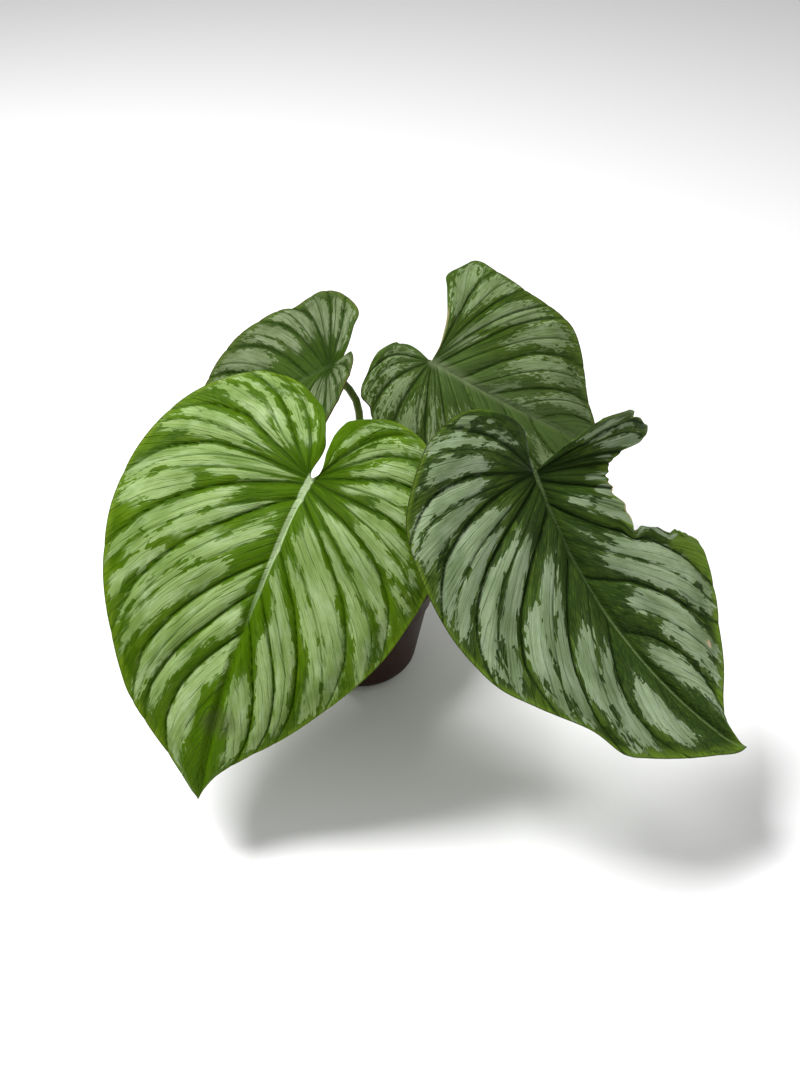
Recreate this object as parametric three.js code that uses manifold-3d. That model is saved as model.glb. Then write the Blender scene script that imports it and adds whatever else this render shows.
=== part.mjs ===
// A small philodendron mamei in a round nursery pot: four heart-shaped leaves on long stalks
// that rise from a short stem in the soil.
// Millimetres and degrees, +Z up. The origin is the middle of the pot's flat underside.
import * as THREE from 'three';
import { mergeVertices } from 'three/addons/utils/BufferGeometryUtils.js';
import Module from 'manifold-3d';

// Pot
const POT_HEIGHT = 60;
const POT_BASE_RADIUS = 27;
const POT_CORNER = 7;
const POT_SIDES = 48;
const BAND_BOTTOM = 43;
const BAND_RADIUS = 34.6;
const BAND_STEP = 1.6;
const RIM_RADIUS = 38;
const RIM_LIP = 1.4;
const RIM_ROUNDING = 0.4;
const WALL = 1.3;
const FLOOR = 1.6;
const DRAIN_HOLES = 6;
const DRAIN_HOLE_RADIUS = 3;
const DRAIN_HOLE_SIDES = 14;
const DRAIN_RING = 17;

// Soil and stem
const SOIL_LEVEL = 50;
const SOIL_RELIEF = 1.1;
const CLEARANCE = 0.35;
const STEM_RADIUS = 5.4;
const STEM_TOP = 68;
const STEM_BOTTOM = 40;
const LEAF_SCARS = [51, 55, 59, 63];

// Leaf stalks
const STALK_BASE_RADIUS = 2.6;
const STALK_RADIUS = 1.75;
const STALK_RINGS = 17;
const STALK_SIDES = 10;
const STALK_BEND = { out: 3.5, up: 6 };

// Blades
const BLADE_THICKNESS = 0.7;
const RIB_THICKNESS = 2.1;
const VEINS = 14;
const CELLS_PER_VEIN = 3;
const ROWS = [0, 0.05, 0.16, 0.32, 0.5, 0.68, 0.85, 1];
const PLEAT = 0.11;
const PLEAT_MAX = 1.2;
const LOBE_REACH = 18;
const LOBE_EDGE = 0.14;
const LOBE_BOW = 0.25;
const VEIN_BOW = 0.15;
const VEIN_LEAN = 0.58;
const TEAR_JUMP = 0.3;

// Where each main vein leaves the midrib, as a share of the blade's length, and where it ends,
// as a share of the edge from the back of the lobe to the tip. The first five fan from the notch.
const VEIN_STARTS = [0, 0, 0, 0, 0, 0.004, 0.015, 0.035, 0.08, 0.165, 0.25, 0.35, 0.465, 0.62, 1];
const VEIN_ENDS = [0, 0.13, 0.21, 0.28, 0.34, 0.4, 0.47, 0.545, 0.615, 0.685, 0.75, 0.805, 0.86,
  0.915, 1];

// Each blade. Its edge is drawn flat, once for each half, from the notch round the lobe to the
// tip: [along the midrib, out from it]. notch is where the stalk meets it. heading, dip and roll
// turn it there; droop, sweep and twist are added along it towards the tip. fold gives how far
// each half slopes up from the midrib, at the midrib and at the margin, for the lobes, the
// middle and the tip. lobe turns that half's basal lobe up, or down where it is negative, and
// is reached LOBE_REACH behind the notch. lobeEdge is the share of the edge that borders the
// gap between the lobes, and lobeBow bows the veins beside it. hook turns the tip's end aside.
const LEAVES = {
  a: {
    scale: 1.015, notch: [-14.6, -40.9, 143.1], heading: -128, dip: 43, roll: -6,
    droop: 13, tipDroop: 10, sweep: 7, twist: -26, halfWidth: 65,
    left: {
      edge: [[0, 0], [-5, 1.5], [-14, 2.5], [-20, 4], [-26, 8], [-31, 20], [-32, 30], [-29, 41],
        [-18, 52], [0, 59], [18, 60], [36, 57], [52, 53], [68, 46], [84, 37], [100, 26],
        [112, 15], [122, 6], [129, 2], [135, 0]],
      fold: [[23, -19], [9, -17], [-5, -5]], lobe: -4,
    },
    right: {
      edge: [[0, 0], [-5, 0.8], [-14, 1.6], [-20, 4], [-25, 9], [-28, 17], [-31, 30], [-30, 43],
        [-26, 53], [-14, 64], [2, 71], [22, 73], [40, 70], [58, 63], [75, 53], [92, 41],
        [102, 33], [115, 18], [124, 9], [130, 4], [135, 0]],
      fold: [[-16, 7], [8, -6], [-3, 2]], lobe: -4, lobeEdge: 0.17, lobeBow: 0.15,
    },
  },
  b: {
    scale: 0.96, notch: [68.4, -48.6, 151.7], heading: -55, dip: 53, roll: 6,
    droop: -8, tipDroop: -4, sweep: 34, twist: -12, hook: 35, halfWidth: 69.5,
    left: {
      edge: [[0, 0], [-5, 8], [-12, 15], [-19, 22], [-22, 32], [-20, 44], [-10, 57], [6, 67],
        [26, 70], [46, 68], [62, 63], [78, 57], [92, 50], [108, 37], [120, 25], [128, 13],
        [134, 6.5], [141, 3], [147, 0]],
      fold: [[5, -30], [16, -34], [-1, 4]], lobe: 55, lobeEdge: 0.17, lobeBow: 0.08,
      // This half is torn: what is left of each vein, by its number. The veins beside the tear
      // bulge towards the tip and end further back.
      torn: [[0, 0.8], [0.7, 0.8], [1.3, 0.84], [1.5, 0.8], [1.62, 0.9], [1.9, 0.94],
        [2.3, 0.81], [2.75, 0.68], [3, 0.54], [3.6, 0.43], [4.4, 0.36], [5.3, 0.33],
        [6.1, 0.34], [6.6, 0.38], [7, 0.4], [7.34, 0.4], [7.66, 0.97], [8, 1]],
      bulge: [[6.3, 0], [7.34, 1.4], [7.66, 7.7], [10, 0]],
      pulled: [[0, 0], [6.3, 6.3], [7.34, 7.7], [7.66, 6.9], [10, 10], [14, 14]],
    },
    right: {
      edge: [[0, 0], [-5, 0.5], [-14, 1], [-20, 5], [-26, 13], [-30, 22], [-31, 33], [-28, 41],
        [-22, 50], [-5, 61], [8, 63], [30, 62], [45, 59], [56, 56], [68, 49], [86, 39],
        [101, 36], [110, 30], [126, 17], [138, 7], [144, 2.5], [147, 0]],
      fold: [[43, -23], [23, -33], [11, 5]], lobe: 4,
    },
  },
  c: {
    scale: 1, notch: [32.5, 39.2, 143.5], heading: -1, dip: 34, roll: 27,
    droop: 15, tipDroop: 3, sweep: 20, twist: 22, halfWidth: 59.4,
    left: {
      edge: [[0, 0], [1, 8], [0.5, 16], [-0.5, 24], [-2.5, 32], [-4.5, 40], [-6, 46], [-4, 51],
        [0, 55.5], [4, 60.5], [8, 65], [13, 66], [20, 63], [38, 56], [55, 52], [67, 47],
        [77, 35], [86, 21], [97, 11], [105, 4], [111, 0]],
      fold: [[4, -21], [23, -22], [5, 5]], lobe: -20, lobeEdge: 0.29, lobeBow: 0,
    },
    right: {
      edge: [[0, 0], [-5, 0.5], [-15, 0.8], [-22, 5.5], [-26, 15], [-27, 26], [-25, 37], [-19, 41],
        [-13, 47], [0, 53], [16, 55], [34, 53], [50, 47], [66, 39], [82, 27], [96, 14],
        [105, 5], [111, 0]],
      fold: [[23, -19], [10, -19], [5, 0]], lobe: -3,
    },
  },
  d: {
    scale: 1, notch: [-11.4, 36.9, 142.4], heading: -183, dip: 34, roll: -17,
    droop: -4, tipDroop: 6, sweep: -11, twist: -20, halfWidth: 45.1,
    left: {
      edge: [[0, 0], [-6, 0.5], [-11, 1], [-14, 5], [-17, 14], [-19, 24], [-17, 31], [-12, 36],
        [-2, 40], [12, 42], [26, 41], [40, 36], [54, 28], [67, 17], [76, 7], [83, 0]],
      fold: [[45, -6], [14, -13], [5, 0]], lobe: -1, lobeEdge: 0.16, lobeBow: 0.1,
    },
    right: {
      edge: [[0, 0], [-6, 0.7], [-11, 4], [-16, 11], [-20, 19], [-17, 29], [-10, 40], [0, 48],
        [8, 46], [15, 43.5], [24, 45.5], [35, 42], [48, 35], [60, 25], [72, 12], [79, 4],
        [83, 0]],
      fold: [[19, -15], [16, -17], [10, 3]], lobe: -1, lobeEdge: 0.17, lobeBow: 0.1,
    },
  },
};

// Each stalk: the side of the stem it leaves from, its height there and the points it passes
const STALKS = {
  a: { angle: -109, height: 59, via: [[-6, -15, 84], [-12, -28, 116], [-15, -36, 132]] },
  b: { angle: -36, height: 61.5, via: [[18, -12, 92], [38, -26, 124], [56, -38, 142]] },
  c: { angle: 50, height: 59.5, via: [[10, 13, 86], [20, 26, 114], [28, 36, 132]] },
  d: { angle: 107, height: 63, via: [[0.5, 14, 88], [1.5, 24, 114], [-0.5, 32, 129]] },
};

const COLOURS = {
  pot: 0x2c1b14, soil: 0x2e2118, stem: 0x5d5a30, stalk: 0x62792f,
  a: 0x86a64f, b: 0x5f7a45, c: 0x56703c, d: 0x5b7644,
};

const rad = THREE.MathUtils.degToRad;
const wasm = await Module();
wasm.setup();

// Straight-line reading of a list of [x, value] pairs
function readPairs(pairs, x) {
  if (x <= pairs[0][0]) return pairs[0][1];
  for (let i = 1; i < pairs.length; i++) {
    const [x0, v0] = pairs[i - 1];
    const [x1, v1] = pairs[i];
    if (x <= x1) return v0 + (v1 - v0) * (x - x0) / (x1 - x0);
  }
  return pairs[pairs.length - 1][1];
}

const readList = (list, k) => readPairs(list.map((value, i) => [i, value]), k);

function toSolid(geometry) {
  const bare = geometry.clone();
  bare.deleteAttribute('normal');
  bare.deleteAttribute('uv');
  const merged = mergeVertices(bare, 1e-4);
  return new wasm.Manifold(new wasm.Mesh({
    numProp: 3,
    vertProperties: new Float32Array(merged.attributes.position.array),
    triVerts: new Uint32Array(merged.index.array),
  }));
}

function toGeometry(solid) {
  const { vertProperties, triVerts } = solid.getMesh();
  const geometry = new THREE.BufferGeometry();
  geometry.setAttribute('position', new THREE.BufferAttribute(vertProperties, 3));
  geometry.setIndex(new THREE.BufferAttribute(triVerts, 1));
  return geometry;
}

// A turned profile about +Z: [radius, height] pairs, starting and ending on the axis
function turned(profile, segments) {
  const points = profile.map(([radius, height]) => new THREE.Vector2(radius, height));
  return new THREE.LatheGeometry(points, segments).rotateX(Math.PI / 2);
}

// The pot's inside radius at a height
function potInside(height) {
  const wall = [[FLOOR, POT_BASE_RADIUS - POT_CORNER + 1],
    [POT_CORNER * 0.45, POT_BASE_RADIUS - POT_CORNER * 0.29 - WALL],
    [POT_CORNER + 1, POT_BASE_RADIUS - WALL],
    [BAND_BOTTOM + 1, BAND_RADIUS - BAND_STEP - WALL], [BAND_BOTTOM + 3, BAND_RADIUS - WALL],
    [POT_HEIGHT, RIM_RADIUS - RIM_LIP - WALL]];
  return readPairs(wall, height);
}

function pot() {
  const base = POT_BASE_RADIUS;
  const corner = POT_CORNER;
  const outside = [[0, 0], [base - corner, 0], [base - corner * 0.62, corner * 0.08],
    [base - corner * 0.29, corner * 0.29], [base - corner * 0.08, corner * 0.62],
    [base, corner], [BAND_RADIUS - BAND_STEP, BAND_BOTTOM], [BAND_RADIUS, BAND_BOTTOM + 2],
    [RIM_RADIUS - RIM_LIP, POT_HEIGHT - 2 - RIM_ROUNDING], [RIM_RADIUS, POT_HEIGHT - 2],
    [RIM_RADIUS, POT_HEIGHT - RIM_ROUNDING], [RIM_RADIUS - RIM_ROUNDING, POT_HEIGHT]];
  const inside = [POT_HEIGHT, BAND_BOTTOM + 3, BAND_BOTTOM + 1, POT_CORNER + 1,
    POT_CORNER * 0.45, FLOOR].map((height) => [potInside(height), height]);
  let solid = toSolid(turned([...outside, ...inside, [0, FLOOR]], POT_SIDES));
  for (let i = 0; i < DRAIN_HOLES; i++) {
    const turn = (i / DRAIN_HOLES) * Math.PI * 2;
    const hole = new THREE.CylinderGeometry(
      DRAIN_HOLE_RADIUS, DRAIN_HOLE_RADIUS, FLOOR * 5, DRAIN_HOLE_SIDES,
    );
    hole.rotateX(Math.PI / 2);
    hole.translate(DRAIN_RING * Math.cos(turn), DRAIN_RING * Math.sin(turn), 0);
    solid = solid.subtract(toSolid(hole));
  }
  return toGeometry(solid);
}

// Soil: fills the pot, rough on top, with a plain round hole for the stem
function soil() {
  const floor = FLOOR + CLEARANCE;
  const hole = STEM_RADIUS + CLEARANCE;
  const profile = [[0, floor]];
  for (const height of [floor, POT_CORNER * 0.45 + CLEARANCE, POT_CORNER + 1, BAND_BOTTOM + 1,
    BAND_BOTTOM + 3, SOIL_LEVEL]) {
    profile.push([potInside(height) - CLEARANCE, height]);
  }
  const width = potInside(SOIL_LEVEL) - CLEARANCE - hole;
  for (const share of [0.86, 0.7, 0.54, 0.38, 0.22, 0.1, 0]) {
    profile.push([hole + width * share, SOIL_LEVEL]);
  }
  profile.push([hole, STEM_BOTTOM - CLEARANCE], [0, STEM_BOTTOM - CLEARANCE]);
  const geometry = turned(profile, 36);
  const at = geometry.attributes.position;
  for (let i = 0; i < at.count; i++) {
    const x = at.getX(i);
    const y = at.getY(i);
    if (at.getZ(i) < SOIL_LEVEL - 0.01) continue;
    const bumps = Math.sin(x * 0.9 + 1.3) * Math.cos(y * 0.7) + Math.sin(x * 0.43 - y * 0.61);
    at.setZ(i, SOIL_LEVEL + SOIL_RELIEF * 0.5 * bumps);
  }
  return toGeometry(toSolid(geometry));
}

// Stem: a short rhizome with a ring at each old leaf scar
function stem() {
  const profile = [[0, STEM_BOTTOM], [STEM_RADIUS * 0.7, STEM_BOTTOM]];
  for (const height of LEAF_SCARS) {
    profile.push([STEM_RADIUS * 0.92, height - 0.8], [STEM_RADIUS, height]);
  }
  profile.push([STEM_RADIUS * 0.75, STEM_TOP - 1.5], [STEM_RADIUS * 0.3, STEM_TOP], [0, STEM_TOP]);
  return toGeometry(toSolid(turned(profile, 18)));
}

// A blade's turned frame at x along its midrib, for one half
function frameAt(leaf, half, x) {
  const s = x / leaf.length;
  let dip = leaf.droop * s + leaf.tipDroop * s ** 3;
  const reach = LOBE_REACH * leaf.scale;
  if (s < 0) dip = half.lobe * (1 - (1 - Math.min(-x / reach, 1)) ** 2);
  const aside = leaf.sweep * s + (leaf.hook ?? 0) * Math.max((s - 0.92) / 0.08, 0) ** 2;
  return leaf.start.clone()
    .multiply(new THREE.Matrix4().makeRotationZ(rad(aside)))
    .multiply(new THREE.Matrix4().makeRotationY(rad(dip)))
    .multiply(new THREE.Matrix4().makeRotationX(rad(leaf.twist * s)));
}

// The midrib's own points, one each millimetre, forwards or backwards from the notch
function midribLine(leaf, half, step) {
  const points = [new THREE.Vector3(...leaf.notch)];
  const ahead = new THREE.Vector3();
  for (let i = 0; i < leaf.length + 5; i++) {
    ahead.setFromMatrixColumn(frameAt(leaf, half, (i + 0.5) * step), 0);
    points.push(points[i].clone().addScaledVector(ahead, step));
  }
  return points;
}

// The point of the bent blade over the flat point (x, out), raised by height
function bladePoint(leaf, half, x, out, height) {
  const line = x < 0 ? half.backward : half.forward;
  const place = Math.abs(x);
  const i = Math.floor(place);
  const point = line[i].clone().lerp(line[i + 1], place - i);
  const s = x / leaf.length;
  const [b0, b1] = [0, 1].map((end) => rad(readPairs(
    [[-0.25, half.fold[0][end]], [0.3, half.fold[1][end]], [1, half.fold[2][end]]], s,
  )));
  const bend = (b1 - b0) / leaf.halfWidth || 1e-6;
  const slope = b0 + bend * out;
  const aside = (Math.sin(slope) - Math.sin(b0)) / bend - Math.sin(slope) * height;
  const raised = (Math.cos(b0) - Math.cos(slope)) / bend + Math.cos(slope) * height;
  return new THREE.Vector3(0, aside * half.sign, raised)
    .applyMatrix4(frameAt(leaf, half, x)).add(point);
}

// The flat point at r along vein number k, which may lie between two veins
function veinPoint(leaf, half, k, r) {
  const lobeEdge = half.lobeEdge ?? LOBE_EDGE;
  const lobeBow = half.lobeBow ?? LOBE_BOW;
  const arc = (start, end, bow) => {
    const across = end.clone().sub(start);
    const control = start.clone().addScaledVector(across, VEIN_LEAN)
      .add(new THREE.Vector2(-across.y, across.x).multiplyScalar(bow));
    return start.clone().multiplyScalar((1 - r) ** 2)
      .addScaledVector(control, 2 * r * (1 - r)).addScaledVector(end, r * r);
  };
  const start = new THREE.Vector2(readList(VEIN_STARTS, k) * leaf.length, 0);
  const ending = readList(VEIN_ENDS, half.pulled ? readPairs(half.pulled, k) : k);
  const end = half.curve.getPointAt(lobeEdge + (1 - lobeEdge) * ending);
  const bow = VEIN_BOW + (lobeBow - VEIN_BOW) * Math.exp(-((k / VEINS / 0.2) ** 2));
  const point = arc(start, end, bow);
  // r (1 - r)^2 peaks at 4 / 27
  if (half.bulge) point.x += readPairs(half.bulge, k) * leaf.scale * 27 / 4 * r * (1 - r) ** 2;
  // The first veins give way to the lobe's own inner edge
  const near = Math.max(1 - k / 2.5, 0) ** 2;
  const inner = half.curve.getPointAt(lobeEdge * r);
  const last = arc(new THREE.Vector2(), half.curve.getPointAt(lobeEdge), lobeBow);
  return point.add(inner.sub(last).multiplyScalar(near));
}

// Tissue stands up between the veins, which are sunk
function pleatHeight(leaf, half, k, r) {
  const low = veinPoint(leaf, half, Math.max(k - 0.5, 0), r);
  const high = veinPoint(leaf, half, Math.min(k + 0.5, VEINS), r);
  const between = Math.abs(Math.sin(Math.PI * k)) ** 0.7;
  const fade = 1 - 0.75 * THREE.MathUtils.smoothstep(r, 0.7, 1);
  return Math.min(low.distanceTo(high) * PLEAT, PLEAT_MAX) * between * fade;
}

function blade(shape) {
  const leaf = { ...shape, length: shape.left.edge.at(-1)[0] * shape.scale };
  leaf.halfWidth *= shape.scale;
  leaf.start = new THREE.Matrix4().makeRotationZ(rad(leaf.heading))
    .multiply(new THREE.Matrix4().makeRotationY(rad(leaf.dip)))
    .multiply(new THREE.Matrix4().makeRotationX(rad(leaf.roll)));
  const top = [];
  const under = [];
  const triangles = [];
  const columns = VEINS * CELLS_PER_VEIN;
  const shared = new Map();
  for (const [name, sign] of [['left', 1], ['right', -1]]) {
    const half = { ...shape[name], sign };
    half.curve = new THREE.SplineCurve(
      half.edge.map(([x, out]) => new THREE.Vector2(x, out).multiplyScalar(leaf.scale)),
    );
    half.curve.arcLengthDivisions = 600;
    half.forward = midribLine(leaf, half, 1);
    half.backward = midribLine(leaf, half, -1);
    const leftAt = (column) => (half.torn ? readPairs(half.torn, column / CELLS_PER_VEIN) : 1);
    const grid = [];
    for (let i = 0; i <= columns; i++) {
      const k = i / CELLS_PER_VEIN;
      grid.push(ROWS.map((row, j) => {
        const r = row * leftAt(i);
        const flat = veinPoint(leaf, half, k, r);
        if (j === 0 || i === columns) {
          // On the midrib both halves share their points
          const key = (i === columns ? leaf.length : flat.x).toFixed(3);
          if (shared.has(key)) return shared.get(key);
          shared.set(key, top.length);
          flat.set(Number(key), 0);
        }
        if (flat.y === 0) {
          // The midrib stands out below
          const rib = (RIB_THICKNESS - BLADE_THICKNESS) * (1 - flat.x / leaf.length);
          const down = new THREE.Vector3().setFromMatrixColumn(frameAt(leaf, half, flat.x), 2);
          top.push(bladePoint(leaf, half, flat.x, 0, 0));
          under.push(top.at(-1).clone().addScaledVector(down, -BLADE_THICKNESS - rib));
        } else {
          const height = pleatHeight(leaf, half, k, r);
          top.push(bladePoint(leaf, half, flat.x, flat.y, height));
          under.push(bladePoint(leaf, half, flat.x, flat.y, height - BLADE_THICKNESS));
        }
        return top.length - 1;
      }));
    }
    for (let i = 0; i < columns; i++) {
      // Across the tear the far side is joined only as far as the near side reaches
      const [near, far] = [i, i + 1].map((column) => leftAt(column));
      const torn = far > near + TEAR_JUMP;
      const stop = torn ? ROWS.findLastIndex((row) => row * far < near) : ROWS.length;
      for (let j = 0; j + 1 < ROWS.length; j++) {
        const [a, b, c, d] = [grid[i][j], grid[i + 1][Math.min(j, stop)],
          grid[i + 1][Math.min(j + 1, stop)], grid[i][j + 1]];
        for (const [p, q, r] of [[a, b, c], [a, c, d]]) {
          if (p !== q && q !== r && r !== p) triangles.push(sign > 0 ? [p, q, r] : [p, r, q]);
        }
      }
    }
  }
  return sheetSolid(top, under, triangles);
}

// Joins a sheet of triangles and its copy below into a solid closed round the edge
function sheetSolid(top, under, triangles) {
  const open = new Map();
  for (const [a, b, c] of triangles) {
    for (const [from, to] of [[a, b], [b, c], [c, a]]) {
      if (!open.delete(`${to},${from}`)) open.set(`${from},${to}`, [from, to]);
    }
  }
  const count = top.length;
  const index = [];
  for (const [a, b, c] of triangles) {
    index.push(a, b, c, a + count, c + count, b + count);
  }
  for (const [a, b] of open.values()) {
    index.push(b, a, a + count, b, a + count, b + count);
  }
  const geometry = new THREE.BufferGeometry().setFromPoints([...top, ...under]);
  geometry.setIndex(index);
  return geometry;
}

// A leaf stalk: round, thicker at its base, cut to lie against the stem and under the blade
function stalk({ angle, height, via }, shape) {
  const radial = new THREE.Vector3(Math.cos(rad(angle)), Math.sin(rad(angle)), 0);
  const start = radial.clone().multiplyScalar(STEM_RADIUS + CLEARANCE).setZ(height);
  const turn = new THREE.Matrix4().makeRotationZ(rad(shape.heading))
    .multiply(new THREE.Matrix4().makeRotationY(rad(shape.dip)))
    .multiply(new THREE.Matrix4().makeRotationX(rad(shape.roll)));
  const bladeUp = new THREE.Vector3().setFromMatrixColumn(turn, 2);
  const ahead = new THREE.Vector3().setFromMatrixColumn(turn, 0);
  const end = new THREE.Vector3(...shape.notch)
    .addScaledVector(bladeUp, -RIB_THICKNESS - CLEARANCE - 0.2).addScaledVector(ahead, 1);
  const path = new THREE.CatmullRomCurve3([
    start,
    start.clone().addScaledVector(radial, STALK_BEND.out).setZ(height + STALK_BEND.up),
    ...via.map((point) => new THREE.Vector3(...point)),
    end,
  ]);
  const frames = path.computeFrenetFrames(STALK_RINGS - 1);
  const points = [];
  for (let i = 0; i < STALK_RINGS; i++) {
    const share = i / (STALK_RINGS - 1);
    const centre = path.getPointAt(share);
    const along = frames.tangents[i];
    const radius = STALK_RADIUS + (STALK_BASE_RADIUS - STALK_RADIUS) * Math.exp(-share * 6);
    const plane = i === 0 ? radial : i === STALK_RINGS - 1 ? bladeUp : along;
    for (let j = 0; j < STALK_SIDES; j++) {
      const round = (j / STALK_SIDES) * Math.PI * 2;
      const offset = frames.normals[i].clone().multiplyScalar(radius * Math.cos(round))
        .addScaledVector(frames.binormals[i], radius * Math.sin(round));
      offset.addScaledVector(along, -offset.dot(plane) / along.dot(plane));
      points.push(centre.clone().add(offset));
    }
  }
  const index = [];
  const first = points.push(path.getPointAt(0)) - 1;
  const last = points.push(path.getPointAt(1)) - 1;
  const lastRing = (STALK_RINGS - 1) * STALK_SIDES;
  for (let j = 0; j < STALK_SIDES; j++) {
    const next = (j + 1) % STALK_SIDES;
    index.push(first, next, j, last, lastRing + j, lastRing + next);
    for (let i = 0; i < lastRing; i += STALK_SIDES) {
      index.push(i + j, i + next, i + STALK_SIDES + next);
      index.push(i + j, i + STALK_SIDES + next, i + STALK_SIDES + j);
    }
  }
  const geometry = new THREE.BufferGeometry().setFromPoints(points);
  geometry.setIndex(index);
  return geometry;
}

const plant = new THREE.Group();

function add(name, geometry, color, roughness) {
  geometry.computeVertexNormals();
  const material = new THREE.MeshStandardMaterial({ color, roughness, metalness: 0 });
  const mesh = new THREE.Mesh(geometry, material);
  mesh.name = name;
  plant.add(mesh);
}

add('pot', pot(), COLOURS.pot, 0.45);
add('soil', soil(), COLOURS.soil, 0.95);
add('stem', stem(), COLOURS.stem, 0.7);
for (const letter of ['a', 'b', 'c', 'd']) {
  add(`petiole_${letter}`, stalk(STALKS[letter], LEAVES[letter]), COLOURS.stalk, 0.5);
  add(`blade_${letter}`, blade(LEAVES[letter]), COLOURS[letter], 0.45);
}

export default plant;
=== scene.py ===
"""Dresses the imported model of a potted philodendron: blades, mix, stalks, stem and pot."""

import math
from types import SimpleNamespace

import bmesh
import bpy
import mathutils
import numpy as np
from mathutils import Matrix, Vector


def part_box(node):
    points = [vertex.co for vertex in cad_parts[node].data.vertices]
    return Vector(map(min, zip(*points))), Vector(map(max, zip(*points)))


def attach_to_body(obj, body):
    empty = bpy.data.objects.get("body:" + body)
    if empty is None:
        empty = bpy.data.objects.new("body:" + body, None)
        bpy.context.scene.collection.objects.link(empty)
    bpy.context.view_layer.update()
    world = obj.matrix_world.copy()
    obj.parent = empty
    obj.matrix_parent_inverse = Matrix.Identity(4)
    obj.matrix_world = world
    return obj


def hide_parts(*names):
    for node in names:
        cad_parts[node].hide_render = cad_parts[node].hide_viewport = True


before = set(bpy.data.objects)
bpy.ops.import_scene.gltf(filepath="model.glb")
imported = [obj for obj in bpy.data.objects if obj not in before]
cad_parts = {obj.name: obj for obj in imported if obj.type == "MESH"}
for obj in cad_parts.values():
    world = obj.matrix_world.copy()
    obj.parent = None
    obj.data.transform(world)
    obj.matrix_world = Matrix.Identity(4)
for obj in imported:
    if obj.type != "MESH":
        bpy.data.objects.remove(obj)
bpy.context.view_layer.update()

MM = 0.001
SEED = 7
# Points nearer than this, in metres, are one
SAME_PLACE = 2e-6

# Floor, lights and camera, in metres and degrees
TARGET = (0.019, 0, 0.079)
VIEW_DOWN = 42
VIEW_DISTANCE = 0.464
FOCAL_LENGTH = 35
SENSOR_HEIGHT = 36
FLOOR_REACH = 3
FLOOR_DROP = 0.0005
ROOM_LIGHT = 0.34
LIGHTS = [("key", (-0.45, 0.05, 1.1), 0.35, 18), ("fill", (0.8, -0.4, 0.8), 0.9, 4)]

# The mix: lengths in mm, widths as shares of its radius
BED_BELOW_TOP = 2.2
BED_SHOULDER = 6
BED_WIDTHS = (0.6, 0.78, 0.985)
BED_SIDES = 96
CHIPS = 520
PALE_EVERY = 9
# A bark chip and a pale grain: least radius, how much more at most, and how squashed
BARK = (1.6, 2.2, (1.3, 0.8, 0.45))
GRAIN = (1.2, 1.2, (1, 0.9, 0.85))
CHIP_SPREAD = 0.93
CHIP_TILT = 0.9

# The blades lie as the solids do, with some edges drawn more finely: lengths in mm, angles in
# degrees. Along a half, veins are numbered 0 at the notch to 14 at the tip, and a place on a
# vein runs from 0 at the midrib to 1 at the edge. Below, k is such a number and r such a place.
VEINS = 14
VEIN_STARTS = [0, 0, 0, 0, 0, 0.004, 0.015, 0.035, 0.08, 0.165, 0.25, 0.35, 0.465, 0.62, 1]
VEIN_ENDS = [0, 0.13, 0.21, 0.28, 0.34, 0.4, 0.47, 0.545, 0.615, 0.685, 0.75, 0.805, 0.86,
             0.915, 1]
CURVE_STEPS = 40
MIDRIB_SPARE = 6
LOBE_REACH = 18
LOBE_EDGE = 0.14
LOBE_BOW = 0.25
LOBE_VEINS = 2.5
VEIN_BOW = 0.15
VEIN_LEAN = 0.58
FOLD_PLACES = [-0.25, 0.3, 1]
HOOK_START = 0.92
BLADE_THICKNESS = 0.5
RIB_DEPTH = 1.4
COLUMNS_PER_VEIN = 16
ROWS = 64

# The tissue swells between the main veins: shares are of a swell's width, lengths in mm. Of a
# pair named BEGINS or SIDES, a thing is gone at the first place and whole at the second.
SWELL_ENDS = (-0.8, 14.2)
PLEAT_SHARE = 0.15
PLEAT_MAX = 2.4
PLEAT_FULLNESS = 0.6
WIDE_SWELL = 8
GROOVE = 0.45
SIDE_GROOVE_SHARE = 0.04
MAIN_GROOVE_WIDTH = 0.7
SIDE_GROOVE_WIDTH = 0.6
SWELL_BEGINS = (0, 3)
EDGE_BEGINS = (0.75, 1)
EDGE_FLATTENING = 0.7
RIB_HEIGHT = 0.35
RIB_BEGINS = (-2, 6)
RIB_SIDES = (1.15, 0.75)
PALE_BEGINS = (-2.5, -0.5)
CORE_SIDES = (24, 6)

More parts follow.
